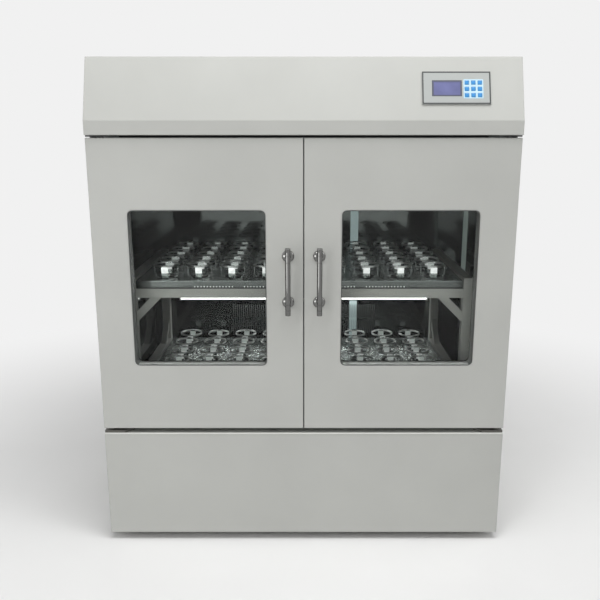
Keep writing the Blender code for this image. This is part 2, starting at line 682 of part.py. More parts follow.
def make_door(name, side, paint, foam, polished, glass, rubber, chrome):
    axis = empty(name + "_axis", (side * PIVOT_X, depth(PIVOT_DEPTH), 0))
    inner_x, outer_x = sorted((side * DOOR_SPLIT / 2, side * HALF))
    back = depth(DOOR_THICKNESS - SHEET)
    pivot = (side * PIVOT_X, depth(PIVOT_DEPTH), 0)

    shape = bmesh.new()
    outline = rectangle(inner_x, DOOR_BOTTOM, outer_x, DOOR_TOP)
    inner = rectangle(inner_x + SHEET, DOOR_BOTTOM + SHEET, outer_x - SHEET, DOOR_TOP - SHEET)
    add_pan(shape, outline, inner, [window_outline(side)], "Y", depth(0), SHEET, back - GAP)
    skin = publish(name + "_skin", shape, paint, parent=axis)
    bushes = bmesh.new()
    pins = bmesh.new()
    bore = running_bore(PIN_RADIUS, PIN_SIDES)
    for edge, way in ((DOOR_BOTTOM, 1), (DOOR_TOP, -1)):
        profile = [(BUSH_RADIUS, edge + way * SHEET / 2), (BUSH_RADIUS, edge + way * BUSH_LENGTH)]
        add_turned(bushes, profile, pivot, "Z", PIN_SIDES)
        profile = [(bore, edge - way * OVERRUN), (bore, edge + way * (PIN_REACH + GAP))]
        add_turned(pins, profile, pivot, "Z", PIN_SIDES)
    combine(skin, publish(name + "_bushes", bushes, paint, parent=axis), "UNION")
    combine(skin, publish(name + "_pin_holes", pins, paint, parent=axis), "DIFFERENCE")

    near = depth(SHEET + GAP)
    far = back - GAP
    shape = bmesh.new()
    free_x = DOOR_SPLIT / 2 + SHEET + GAP
    hinge_x = PIVOT_X - BUSH_RADIUS - GAP
    low_x, high_x = sorted((side * free_x, side * hinge_x))
    core = rectangle(low_x, DOOR_BOTTOM + SHEET + GAP, high_x, DOOR_TOP - SHEET - GAP)
    add_plate(shape, core, [glass_outline(side, GAP)], "Y", near, far)
    publish(name + "_core", shape, foam, parent=axis)

    shape = bmesh.new()
    add_plate(shape, outline, [window_outline(side)], "Y", back, depth(DOOR_THICKNESS))
    publish(name + "_liner", shape, polished, parent=axis)

    shape = bmesh.new()
    add_prism(shape, glass_outline(side), "Y", near, near + GLASS_THICKNESS)
    publish(name + "_outer_glass", shape, glass, parent=axis)
    shape = bmesh.new()
    reveal_low, reveal_high = sorted((side * WINDOW_STILE, side * (WINDOW_STILE + WINDOW_WIDTH)))
    sill = DOOR_BOTTOM + WINDOW_SILL
    reveal = rectangle(reveal_low, sill, reveal_high, sill + WINDOW_HEIGHT)
    add_pan(shape, glass_outline(side), reveal, [], "Y", far, -GLASS_THICKNESS, near + GLASS_THICKNESS + GAP)
    publish(name + "_inner_glass", shape, glass, parent=axis)

    shape = bmesh.new()
    free = DOOR_SPLIT / 2 + SEAL_INSET
    swing = DOOR_SEAL_SPACE - 2 * GAP
    reach = DOOR_THICKNESS + swing - PIVOT_DEPTH
    spare = math.sqrt((FACE - GAP - PIVOT_DEPTH) ** 2 - reach ** 2)
    hinge = PIVOT_X + spare / 2
    low_x, high_x = sorted((side * free, side * hinge))
    seal = rectangle(low_x, DOOR_BOTTOM + SEAL_INSET, high_x, DOOR_TOP - SEAL_INSET)
    hole = rectangle(low_x + SEAL_WIDTH, DOOR_BOTTOM + SEAL_INSET + SEAL_WIDTH,
                     high_x - SEAL_WIDTH, DOOR_TOP - SEAL_INSET - SEAL_WIDTH)
    add_plate(shape, seal, [hole], "Y", depth(DOOR_THICKNESS + GAP), depth(DOOR_THICKNESS + swing))
    publish(name + "_seal", shape, rubber, parent=axis)

    make_handle(name + "_handle", side * HANDLE_OFFSET, chrome, axis)


def make_handle(name, x, chrome, axis):
    y = depth(-HANDLE_STANDOFF)
    half = HANDLE_LENGTH / 2
    shape = bmesh.new()
    profile = [(HANDLE_RADIUS, -half), (HANDLE_RADIUS, half)]
    add_turned(shape, profile, (x, y, HANDLE_CENTRE_HEIGHT), "Z", HANDLE_SIDES)
    handle = publish(name, shape, chrome, parent=axis, smooth=True)
    shape = bmesh.new()
    profile = [(HANDLE_POST_RADIUS, y), (HANDLE_POST_RADIUS, depth(-ROSETTE_THICKNESS)),
               (ROSETTE_RADIUS * ROSETTE_CROWN_SHARE, depth(-ROSETTE_THICKNESS)),
               (ROSETTE_RADIUS, depth(-ROSETTE_THICKNESS / 2)), (ROSETTE_RADIUS, depth(-GAP))]
    for end in (-1, 1):
        place = (x, 0, HANDLE_CENTRE_HEIGHT + end * HANDLE_POST_SPACING / 2)
        add_turned(shape, profile, place, "Y", HANDLE_SIDES)
    combine(handle, publish(name + "_posts", shape, chrome, parent=axis), "UNION")


def make_hinge_bracket(name, side, plate_low, plate_high, pin_profile, steel):
    outer = side * (HALF - GAP)
    inner = side * (HALF - HINGE_PLATE_LENGTH)
    shoulder = side * (HALF - HINGE_PLATE_LENGTH + HINGE_PLATE_CHAMFER)
    front = depth(HINGE_PLATE_FRONT)
    back = depth(FACE - GAP)
    outline = [(outer, front), (outer, back), (inner, back), (inner, front + HINGE_PLATE_CHAMFER),
               (shoulder, front)]
    shape = bmesh.new()
    add_prism(shape, outline, "Z", plate_low, plate_high)
    bracket = publish(name, shape, steel)
    shape = bmesh.new()
    add_turned(shape, pin_profile, (side * PIVOT_X, depth(PIVOT_DEPTH), 0), "Z", PIN_SIDES)
    combine(bracket, publish(name + "_pin", shape, steel), "UNION")


def make_hinge_brackets(steel):
    """A plate with a collar and a pin, below and above each door."""
    low = PLINTH_TOP + GAP
    seat = low + LOWER_PLATE
    lower_pin = [(COLLAR_RADIUS, low + LOWER_PLATE / 2), (COLLAR_RADIUS, DOOR_BOTTOM - GAP),
                 (PIN_RADIUS, DOOR_BOTTOM - GAP), (PIN_RADIUS, DOOR_BOTTOM + PIN_REACH)]
    high = HEADER_BOTTOM - GAP
    roof = high - UPPER_PLATE
    upper_pin = [(PIN_RADIUS, DOOR_TOP - PIN_REACH), (PIN_RADIUS, DOOR_TOP + GAP),
                 (COLLAR_RADIUS, DOOR_TOP + GAP), (COLLAR_RADIUS, high - UPPER_PLATE / 2)]
    for hand, side in (("left", -1), ("right", 1)):
        make_hinge_bracket(hand + "_lower_hinge", side, low, seat, lower_pin, steel)
        make_hinge_bracket(hand + "_upper_hinge", side, roof, high, upper_pin, steel)


def make_control_station(silver, display, key_blue):
    middle = SLOPE_LENGTH / 2
    y = depth(-LIP_PROUD) + middle * math.sin(SLOPE_ANGLE)
    z = CREASE + middle * math.cos(SLOPE_ANGLE)
    tilt = math.pi / 2 - SLOPE_ANGLE
    station = empty("control_station", (PANEL_CENTRE_X, y, z), rotation=(tilt, 0.0, 0.0))

    shape = bmesh.new()
    screen_low = -DISPLAY_DROP - DISPLAY_HEIGHT / 2
    screen = rectangle(DISPLAY_OFFSET - DISPLAY_WIDTH / 2, screen_low,
                       DISPLAY_OFFSET + DISPLAY_WIDTH / 2, screen_low + DISPLAY_HEIGHT)
    holes = [screen]
    places = []
    first = -(KEYS_PER_SIDE - 1) / 2
    for row in range(KEYS_PER_SIDE):
        for column in range(KEYS_PER_SIDE):
            up = -KEY_FIELD_DROP - (first + row) * KEY_PITCH
            places.append((KEY_FIELD_OFFSET + (first + column) * KEY_PITCH, up))
    reach = KEY_SIZE / 2 + KEY_CLEARANCE
    for x, up in places:
        holes.append(rectangle(x - reach, up - reach, x + reach, up + reach))
    outline = rectangle(-PANEL_WIDTH / 2, -PANEL_HEIGHT / 2, PANEL_WIDTH / 2, PANEL_HEIGHT / 2)
    add_plate(shape, outline, holes, "Z", GAP, PANEL_THICKNESS)
    publish("control_panel", shape, silver, parent=station, local=True)

    shape = bmesh.new()
    low_x = DISPLAY_OFFSET - DISPLAY_WIDTH / 2 + GAP
    low_y = screen_low + GAP
    add_box(shape, (low_x, low_y, GAP),
            (low_x + DISPLAY_WIDTH - 2 * GAP, low_y + DISPLAY_HEIGHT - 2 * GAP,
             PANEL_THICKNESS - DISPLAY_RECESS))
    publish("display", shape, display, parent=station, local=True)

    for number, (x, up) in enumerate(places, start=1):
        shape = bmesh.new()
        points = add_box(shape, (-KEY_SIZE / 2, -KEY_SIZE / 2, 0),
                         (KEY_SIZE / 2, KEY_SIZE / 2, PANEL_THICKNESS + KEY_PROUD - GAP - KEY_TRAVEL - GAP))
        for point in points[4:]:
            point.co.x -= math.copysign(KEY_TAPER, point.co.x)
            point.co.y -= math.copysign(KEY_TAPER, point.co.y)
        key = publish("key_" + str(number), shape, key_blue, parent=station, local=True)
        key.location = (x, up, GAP + KEY_TRAVEL + GAP)


def make_crank(name, place, bottom, steel):
    """An eccentric shaft: a journal, a round web and the offset pin that carries the platform."""
    axis = empty(name + "_axis", (place[0], place[1], 0))
    shape = bmesh.new()
    profile = [(SHAFT_RADIUS, bottom), (SHAFT_RADIUS, WEB_BOTTOM), (CRANK_WEB_RADIUS, WEB_BOTTOM),
               (CRANK_WEB_RADIUS, WEB_TOP)]
    add_turned(shape, profile, (place[0], place[1], 0), "Z", CRANK_SIDES)
    crank = publish(name, shape, steel, parent=axis, smooth=True)
    shape = bmesh.new()
    profile = [(CRANK_PIN_RADIUS, WEB_TOP - CRANK_WEB_THICKNESS / 2), (CRANK_PIN_RADIUS, PIN_TOP)]
    add_turned(shape, profile, (place[0] + PLATFORM_X, place[1], 0), "Z", CRANK_SIDES)
    combine(crank, publish(name + "_pin", shape, steel, parent=axis), "UNION")
    return axis


def make_drive(steel, iron, rubber, motor_paint):
    axes = {}
    for name, place in zip(("drive_crank", "left_idler_crank", "right_idler_crank"), crank_places()):
        bottom = PULLEY_BOTTOM - GAP if name == "drive_crank" else HOUSING_BOTTOM - GAP
        axes[name] = make_crank(name, place, bottom, steel)

    centre = crank_places()[0]
    shape = bmesh.new()
    groove = PULLEY_RADIUS - PULLEY_GROOVE_DEPTH
    bore = running_bore(SHAFT_RADIUS, PULLEY_SIDES)
    profile = [(bore, PULLEY_BOTTOM)] + pulley_rim(PULLEY_RADIUS, groove) + [(bore, PULLEY_TOP)]
    add_turned(shape, profile, (centre[0], centre[1], 0), "Z", PULLEY_SIDES, bore=True)
    publish("crank_pulley", shape, iron, parent=axes["drive_crank"], smooth=True)

    motor_place = (MOTOR_X, centre[1], 0)
    axis = empty("motor_axis", motor_place)
    flange_top = PULLEY_BOTTOM - MOTOR_SHAFT_GAP
    shape = bmesh.new()
    small_groove = MOTOR_PULLEY_RADIUS - PULLEY_GROOVE_DEPTH
    profile = [(SHAFT_RADIUS, flange_top + GAP), (SHAFT_RADIUS, PULLEY_BOTTOM)]
    profile += pulley_rim(MOTOR_PULLEY_RADIUS, small_groove)
    add_turned(shape, profile, motor_place, "Z", MOTOR_SIDES)
    publish("motor_pulley", shape, iron, parent=axis, smooth=True)

    shape = bmesh.new()
    low = BASE_PLATE_TOP + GAP
    profile = [(MOTOR_FLANGE, low), (MOTOR_FLANGE, low + MOTOR_FLANGE_THICKNESS),
               (MOTOR_RADIUS, low + MOTOR_FLANGE_THICKNESS), (MOTOR_RADIUS, flange_top)]
    add_turned(shape, profile, motor_place, "Z", MOTOR_SIDES)
    publish("drive_motor", shape, motor_paint, smooth=True)

    shape = bmesh.new()
    inner = belt_path(groove, small_groove, GAP, centre)
    outer = belt_path(groove, small_groove, GAP + BELT_THICKNESS, centre)
    low = PULLEY_BOTTOM + PULLEY_FLANGE + GAP
    add_plate(shape, outer, [inner], "Z", low, PULLEY_TOP - PULLEY_FLANGE - GAP)
    publish("drive_belt", shape, rubber, smooth=True)
    return axes


def pulley_rim(radius, groove):
    """Profile points of a flanged rim, bottom to top."""
    return [(radius, PULLEY_BOTTOM), (radius, PULLEY_BOTTOM + PULLEY_FLANGE),
            (groove, PULLEY_BOTTOM + PULLEY_FLANGE), (groove, PULLEY_TOP - PULLEY_FLANGE),
            (radius, PULLEY_TOP - PULLEY_FLANGE), (radius, PULLEY_TOP)]


def belt_path(large, small, offset, centre):
    """Closed outline round both pulley grooves, standing off them by offset."""
    tangent = math.acos((large - small) / MOTOR_X)
    points = []
    half_step = (math.pi - tangent) / BELT_STEPS
    big = (large + offset) / math.cos(half_step)
    little = (small + offset) / math.cos(tangent / BELT_STEPS)
    for step in range(BELT_STEPS + 1):
        angle = tangent + 2 * (math.pi - tangent) * step / BELT_STEPS
        points.append((centre[0] + big * math.cos(angle), centre[1] + big * math.sin(angle)))
    for step in range(BELT_STEPS + 1):
        angle = -tangent + 2 * tangent * step / BELT_STEPS
        points.append((MOTOR_X + little * math.cos(angle), centre[1] + little * math.sin(angle)))
    return points


def make_frame(axis, frame_paint):
    """The welded frame that carries both trays, with the bearings of the crank pins under its carriers."""
    front = depth(FRAME_FRONT)
    back = depth(FRAME_FRONT + FRAME_DEPTH)
    left = PLATFORM_X - FRAME_HALF_WIDTH
    right = PLATFORM_X + FRAME_HALF_WIDTH
    upper_rail_bottom = LOWER_RAIL_BOTTOM + TIER_PITCH
    upper_side_bottom = SIDE_RAIL_BOTTOM + TIER_PITCH
    rails = bmesh.new()
    posts = bmesh.new()
    braces = bmesh.new()
    for bottom in (SIDE_RAIL_BOTTOM, upper_side_bottom):
        for x in (left, right - TUBE):
            add_box(rails, (x, front, bottom), (x + TUBE, back, bottom + TUBE))
    for y in (front, back - TUBE):
        for x in (left, right - TUBE):
            add_box(posts, (x + WELD, y + WELD, LOWER_RAIL_BOTTOM + WELD),
                    (x + TUBE - WELD, y + TUBE - WELD, upper_side_bottom + TUBE / 2))
        add_box(rails, (left, y, LOWER_RAIL_BOTTOM), (right, y + TUBE, LOWER_RAIL_TOP))
        add_box(rails, (left + TUBE / 2, y, upper_rail_bottom),
                (right - TUBE / 2, y + TUBE, upper_rail_bottom + RAIL_HEIGHT))
        middle = y + TUBE / 2
        for side in (-1, 1):
            post = PLATFORM_X + side * (FRAME_HALF_WIDTH - TUBE)
            outline = gusset(post, upper_rail_bottom, -side, -1)
            add_prism(braces, outline, "Y", middle - GUSSET_THICKNESS / 2, middle + GUSSET_THICKNESS / 2)
    for x in (left + TUBE / 2, right - TUBE / 2):
        for face, way in ((front + TUBE, 1), (back - TUBE, -1)):
            outline = gusset(face, SIDE_RAIL_BOTTOM + TUBE, way, 1)
            add_prism(braces, outline, "X", x - GUSSET_THICKNESS / 2, x + GUSSET_THICKNESS / 2)
    low = LOWER_RAIL_TOP - WELD - CARRIER_THICKNESS
    for x in (-IDLER_X, 0.0, IDLER_X):
        start = x + PLATFORM_X - CARRIER_WIDTH / 2
        add_box(braces, (start, front + TUBE / 2, low),
                (start + CARRIER_WIDTH, back - TUBE / 2, LOWER_RAIL_TOP - WELD))
    frame = publish("shaker_frame", rails, frame_paint, parent=axis)
    combine(frame, publish("frame_posts", posts, frame_paint, parent=axis), "UNION")
    combine(frame, publish("frame_braces", braces, frame_paint, parent=axis), "UNION")
    bearings = bmesh.new()
    bore = running_bore(CRANK_PIN_RADIUS, CRANK_SIDES)
    for x, y in crank_places():
        profile = [(bore, PIN_TOP + GAP), (bore, WEB_TOP + BEARING_RAISE),
                   (BEARING_RADIUS, WEB_TOP + BEARING_RAISE), (BEARING_RADIUS, low + CARRIER_THICKNESS / 2)]
        add_turned(bearings, profile, (x + PLATFORM_X, y, 0), "Z", CRANK_SIDES)
    combine(frame, publish("frame_bearings", bearings, frame_paint, parent=axis), "UNION")


def gusset(corner_across, corner_up, across, up):
    """A 45 degree strip across the corner, its ends sunk into both tubes for their welds."""
    sunk = -GUSSET_SINK
    return [(corner_across + across * sunk, corner_up + up * GUSSET_LEG),
            (corner_across + across * sunk, corner_up + up * (GUSSET_LEG - GUSSET_WIDTH)),
            (corner_across + across * (GUSSET_LEG - GUSSET_WIDTH), corner_up + up * sunk),
            (corner_across + across * GUSSET_LEG, corner_up + up * sunk)]


def make_trays(axis, zinc):
    """Two lipped trays, each with its flask clamps: four tapered spring petals round every flask."""
    front = depth(FRAME_FRONT)
    back = depth(FRAME_FRONT + FRAME_DEPTH)
    for name, top in tray_tops():
        shape = bmesh.new()
        outline = rectangle(PLATFORM_X - TRAY_HALF_WIDTH, front, PLATFORM_X + TRAY_HALF_WIDTH, back)
        inner = rectangle(PLATFORM_X - TRAY_HALF_WIDTH + SHEET, front + SHEET,
                          PLATFORM_X + TRAY_HALF_WIDTH - SHEET, back - SHEET)
        top_edge = loop_at(shape, outline, "Z", top)
        rim_outer = loop_at(shape, outline, "Z", top - TRAY_LIP)
        rim_inner = loop_at(shape, inner, "Z", top - TRAY_LIP)
        under = loop_at(shape, inner, "Z", top - SHEET)
        join_loops(shape, top_edge, rim_outer)
        join_loops(shape, rim_outer, rim_inner)
        join_loops(shape, rim_inner, under)
        shape.faces.new(under)
        roots = []
        for centre in clamp_places():
            for turn in range(4):
                root = loop_at(shape, petal_section(centre, turn, PETAL_WIDTH, 0.0), "Z", top)
                section = petal_section(centre, turn, PETAL_TOP_WIDTH, PETAL_FLARE)
                tip = loop_at(shape, section, "Z", top + CLAMP_HEIGHT)
                join_loops(shape, root, tip)
                shape.faces.new(tip)
                roots.append(root)
        fill(shape, [top_edge] + roots)
        publish(name + "_tray", shape, zinc, parent=axis)


def petal_section(centre, turn, width, flare):
    """A petal's flat section, on one of the four sides of its clamp."""
    reach = CLAMP_RADIUS + flare
    corners = ((reach - CLAMP_SHEET, -width / 2), (reach, -width / 2),
               (reach, width / 2), (reach - CLAMP_SHEET, width / 2))
    angle = turn * math.pi / 2
    points = []
    for out, along in corners:
        points.append((centre[0] + out * math.cos(angle) - along * math.sin(angle),
                       centre[1] + out * math.sin(angle) + along * math.cos(angle)))
    return points


def tray_tops():
    lower = LOWER_RAIL_TOP + GAP + TRAY_LIP
    return (("lower", lower), ("upper", lower + TIER_PITCH))


def clamp_places():
    """Centres of the clamps in plan, the front row first."""
    places = []
    for row in range(CLAMP_ROWS):
        y = depth(ORBIT_DEPTH) + (row - (CLAMP_ROWS - 1) / 2) * CLAMP_PITCH_Y
        for column in range(CLAMP_COLUMNS):
            places.append((PLATFORM_X + (column - (CLAMP_COLUMNS - 1) / 2) * CLAMP_PITCH_X, y))
    return places


def make_fan(name, centre, alloy):
    """A fan that turns about Y: pitched, tapered blades set into a round hub."""
    axis = empty(name + "_axis", centre)
    shape = bmesh.new()
    half = FAN_THICKNESS / 2
    add_turned(shape, [(FAN_HUB_RADIUS, -half), (FAN_HUB_RADIUS, half)], centre, "Y", FAN_SIDES)
    fan = publish(name, shape, alloy, parent=axis, smooth=True)
    shape = bmesh.new()
    for blade in range(FAN_BLADES):
        root = FAN_HUB_RADIUS - FAN_BLADE_SINK
        points = add_box(shape, (-FAN_BLADE_WIDTH / 2, -FAN_BLADE_THICKNESS / 2, root),
                         (FAN_BLADE_WIDTH / 2, FAN_BLADE_THICKNESS / 2, FAN_RADIUS))
        for point in points[:4]:
            point.co.x *= FAN_ROOT_SHARE
        pitch = Matrix.Rotation(math.radians(FAN_BLADE_PITCH_DEGREES), 4, "Z")
        turn = Matrix.Rotation(math.tau * blade / FAN_BLADES, 4, "Y")
        bmesh.ops.transform(shape, matrix=Matrix.Translation(centre) @ turn @ pitch, verts=points)
    combine(fan, publish(name + "_blades", shape, alloy, parent=axis), "UNION")


def make_exchanger(name, low, high, slots, fin_alloy):
    """A heat exchanger: upright fins with the air's slots between them, and a header at each end."""
    pitch = (high[0] - low[0] - FIN_THICKNESS) / slots
    holes = []
    for index in range(slots):
        start = low[0] + FIN_THICKNESS + index * pitch
        holes.append(rectangle(start, low[2] + FIN_HEADER, start + pitch - FIN_THICKNESS,
                               high[2] - FIN_HEADER))
    shape = bmesh.new()
    add_plate(shape, rectangle(low[0], low[2], high[0], high[2]), holes, "Y", low[1], high[1])
    publish(name, shape, fin_alloy)


def make_air_side(alloy, motor_paint, fin_alloy, compressor_paint):
    motor_front = LINER_BACK - GAP - FAN_MOTOR_LENGTH
    circulation = Vector((0.0, depth(motor_front - GAP - FAN_THICKNESS / 2), CIRCULATION_FAN_HEIGHT))
    make_fan("circulation_fan", circulation, alloy)
    shape = bmesh.new()
    profile = [(FAN_MOTOR_RADIUS, depth(motor_front)), (FAN_MOTOR_RADIUS, depth(LINER_BACK - GAP))]
    add_turned(shape, profile, (0.0, 0.0, CIRCULATION_FAN_HEIGHT), "Y", FAN_SIDES)
    publish("circulation_fan_motor", shape, motor_paint, smooth=True)

    low = BASE_PLATE_TOP + GAP
    middle = low + CONDENSER_HEIGHT / 2
    fan_depth = CONDENSER_DEPTH - CONDENSER_FAN_SPACE - FAN_THICKNESS / 2
    make_fan("condenser_fan", Vector((CONDENSER_X, depth(fan_depth), middle)), alloy)
    motor_back = fan_depth - FAN_THICKNESS / 2 - GAP
    shape = bmesh.new()
    motor_front = motor_back - FAN_MOTOR_LENGTH
    profile = [(FAN_MOTOR_RADIUS, depth(motor_front)), (FAN_MOTOR_RADIUS, depth(motor_back))]
    add_turned(shape, profile, (CONDENSER_X, 0.0, middle), "Y", FAN_SIDES)
    motor = publish("condenser_fan_motor", shape, motor_paint, smooth=True)
    shape = bmesh.new()
    stand = motor_front + FAN_BRACKET_THICKNESS
    add_box(shape, (CONDENSER_X - FAN_BRACKET_WIDTH / 2, depth(stand), low),
            (CONDENSER_X + FAN_BRACKET_WIDTH / 2, depth(stand + FAN_BRACKET_THICKNESS), middle))
    combine(motor, publish("fan_motor_bracket", shape, motor_paint), "UNION")

    evaporator_front = depth(LINER_BACK - GAP - EVAPORATOR_THICKNESS)
    evaporator_low = EVAPORATOR_HIGH - EVAPORATOR_HEIGHT
    make_exchanger("evaporator", (-EVAPORATOR_HALF_WIDTH, evaporator_front, evaporator_low),
                   (EVAPORATOR_HALF_WIDTH, depth(LINER_BACK - GAP), EVAPORATOR_HIGH),
                   EVAPORATOR_SLOTS, fin_alloy)
    condenser_rear = depth(CONDENSER_DEPTH + CONDENSER_THICKNESS)
    make_exchanger("condenser", (CONDENSER_X - CONDENSER_HALF_WIDTH, depth(CONDENSER_DEPTH), low),
                   (CONDENSER_X + CONDENSER_HALF_WIDTH, condenser_rear, low + CONDENSER_HEIGHT),
                   CONDENSER_SLOTS, fin_alloy)

    shape = bmesh.new()
    shoulder = COMPRESSOR_RADIUS * COMPRESSOR_SHOULDER_SHARE
    belly = low + COMPRESSOR_FOOT
    high = belly + COMPRESSOR_HEIGHT
    profile = [(COMPRESSOR_RADIUS - shoulder, low), (COMPRESSOR_RADIUS - shoulder, belly),
               (COMPRESSOR_RADIUS, belly + shoulder), (COMPRESSOR_RADIUS, high - 2 * shoulder),
               (COMPRESSOR_RADIUS - shoulder, high - shoulder / 2), (COMPRESSOR_RADIUS - 2 * shoulder, high)]
    add_turned(shape, profile, (COMPRESSOR_X, depth(COMPRESSOR_DEPTH), 0), "Z", MOTOR_SIDES)
    publish("compressor", shape, compressor_paint, smooth=True)


def make_mains(black):
    """Appliance inlet let into the rear panel, with its rocker switch above the socket."""
    back = depth(BODY_DEPTH)
    shape = bmesh.new()
    add_box(shape, (INLET_X - INLET_WIDTH / 2, back - INLET_DEEP, INLET_HEIGHT - INLET_TALL / 2),
            (INLET_X + INLET_WIDTH / 2, back, INLET_HEIGHT + INLET_TALL / 2))
    inlet = publish("mains_inlet", shape, black)
    shape = bmesh.new()
    floor = back - SOCKET_DEEP
    add_box(shape, (INLET_X - SOCKET_WIDTH / 2, floor, INLET_HEIGHT - INLET_STEP - SOCKET_TALL / 2),
            (INLET_X + SOCKET_WIDTH / 2, back + OVERRUN, INLET_HEIGHT - INLET_STEP + SOCKET_TALL / 2))
    centre = INLET_HEIGHT + INLET_STEP
    half_wide = ROCKER_WIDTH / 2 + ROCKER_CLEARANCE
    half_tall = ROCKER_TALL / 2 + ROCKER_CLEARANCE
    add_box(shape, (INLET_X - half_wide, floor, centre - half_tall),
            (INLET_X + half_wide, back + OVERRUN, centre + half_tall))
    combine(inlet, publish("inlet_recesses", shape, black), "DIFFERENCE")

    axis = empty("mains_rocker_axis", (INLET_X, back - ROCKER_DEEP, centre))
    shape = bmesh.new()
    half_tall = ROCKER_TALL / 2
    pivot = back - ROCKER_DEEP
    rim = back - ROCKER_DEEP / 2
    outline = [(floor + GAP + ROCKER_CLEARANCE / 2, centre), (pivot, centre - half_tall),
               (rim, centre - half_tall), (rim - ROCKER_CLEARANCE, centre),
               (rim, centre + half_tall), (pivot, centre + half_tall)]
    add_prism(shape, outline, "X", INLET_X - ROCKER_WIDTH / 2, INLET_X + ROCKER_WIDTH / 2)
    tilt = Matrix.Rotation(math.radians(ROCKER_SWING_DEGREES), 3, "X")
    bmesh.ops.rotate(shape, verts=shape.verts, cent=(INLET_X, pivot, centre), matrix=tilt)
    publish("mains_rocker", shape, black, parent=axis)


def main():
    clear_scene()
    paint = material("warm_grey_powder_coat", (0.56, 0.565, 0.54), 0.45)
    frame_paint = material("frame_paint", (0.50, 0.49, 0.44), 0.5)
    polished = material("polished_stainless", (0.62, 0.62, 0.60), 0.15, 1.0)
    zinc = material("brushed_stainless", (0.66, 0.66, 0.65), 0.35, 1.0)
    steel = material("machined_steel", (0.50, 0.50, 0.50), 0.35, 1.0)
    iron = material("cast_iron", (0.20, 0.21, 0.22), 0.6, 0.6)
    chrome = material("chrome", (0.80, 0.80, 0.80), 0.08, 1.0)
    foam = material("insulation_foam", (0.75, 0.68, 0.45), 0.9)
    glass = material("window_glass", (0.75, 0.82, 0.80), 0.05)
    rubber = material("black_rubber", (0.03, 0.03, 0.03), 0.7)
    lamp_glass = material("lamp_glass", (0.95, 0.95, 0.92), 0.3)
    silver = material("silver_panel", (0.60, 0.61, 0.60), 0.4)
    display = material("display", (0.16, 0.17, 0.39), 0.2)
    key_blue = material("key_blue", (0.06, 0.35, 0.70), 0.4)
    motor_paint = material("motor_paint", (0.08, 0.12, 0.18), 0.5)
    compressor_paint = material("compressor_paint", (0.02, 0.02, 0.02), 0.4)
    fin_alloy = material("fin_alloy", (0.70, 0.68, 0.64), 0.4, 1.0)
    alloy = material("fan_alloy", (0.60, 0.60, 0.62), 0.4, 1.0)
    black = material("black_plastic", (0.02, 0.02, 0.02), 0.45)

    make_wrapper(paint)
    make_covers(paint)
    make_base(steel)
    make_deck(steel)
    make_chamber(polished, foam)
    make_duct_cover(polished)
    make_lamp(lamp_glass, polished)
    for name, side in (("left_door", -1), ("right_door", 1)):
        make_door(name, side, paint, foam, polished, glass, rubber, chrome)
    make_hinge_brackets(steel)
    make_control_station(silver, display, key_blue)
    axes = make_drive(steel, iron, rubber, motor_paint)
    orbit = axes["drive_crank"]
    driven = crank_places()[0]
    platform = empty("platform_axis", (driven[0] + PLATFORM_X, driven[1], 0), parent=orbit)
    make_frame(platform, frame_paint)
    make_trays(platform, zinc)
    make_air_side(alloy, motor_paint, fin_alloy, compressor_paint)
    make_mains(black)


main()
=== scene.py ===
"""Looks of a two-door shaking incubator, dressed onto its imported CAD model.

Metres, +Z up, doors facing -Y. Sizes that repeat the CAD's are read from its nodes' boxes where a box gives them.
"""

import math
import random

import bmesh
import bpy
from mathutils import Matrix, Vector


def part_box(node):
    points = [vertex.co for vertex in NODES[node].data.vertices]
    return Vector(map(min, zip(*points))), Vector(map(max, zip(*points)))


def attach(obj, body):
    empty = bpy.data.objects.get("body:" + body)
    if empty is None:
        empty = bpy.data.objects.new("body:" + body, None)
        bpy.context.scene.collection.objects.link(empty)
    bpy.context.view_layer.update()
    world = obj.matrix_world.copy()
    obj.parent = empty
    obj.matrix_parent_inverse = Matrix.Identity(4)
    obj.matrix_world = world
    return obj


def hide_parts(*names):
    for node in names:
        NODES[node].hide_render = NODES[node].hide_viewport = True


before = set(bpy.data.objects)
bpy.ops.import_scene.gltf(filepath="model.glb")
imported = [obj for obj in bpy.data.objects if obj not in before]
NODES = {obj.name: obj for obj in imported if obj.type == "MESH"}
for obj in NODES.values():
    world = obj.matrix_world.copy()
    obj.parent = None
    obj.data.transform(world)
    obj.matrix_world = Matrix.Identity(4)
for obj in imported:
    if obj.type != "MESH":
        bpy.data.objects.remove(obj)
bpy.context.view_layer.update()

GAP = 0.0003
SHEET = 0.002

# Camera, solved from the photograph
CAMERA_DISTANCE = 2.003
CAMERA_HEIGHT = 1.238
CAMERA_PITCH_DEGREES = 13.2
CAMERA_LENS = 42.84
CAMERA_SHIFT_X = -0.0062

# Level of the plain backdrop, of which 1 is white
BACKDROP_LEVEL = 0.88

# Windows
WINDOW_STILE = 0.1075
WINDOW_WIDTH = 0.388
WINDOW_HEIGHT = 0.4555
WINDOW_SILL = 0.570
WINDOW_RADIUS = 0.014
WINDOW_STEPS = 8
GLASS_THICKNESS = 0.004
SPACER_FRONT = 0.0066
TRIM_PROUD = 0.0004
TRIM_WIDTH = 0.0020

# Handles
HANDLE_RADIUS = 0.0077
HANDLE_STANDOFF = 0.045
HANDLE_POST_SPACING = 0.134
HANDLE_POST_RADIUS = 0.0058
ROSETTE_RADIUS = 0.0175
ROSETTE_THICKNESS = 0.007
HANDLE_TOP_SLEEVE = 0.040
HANDLE_FOOT_SLEEVE = 0.033
HANDLE_SIDES = 40

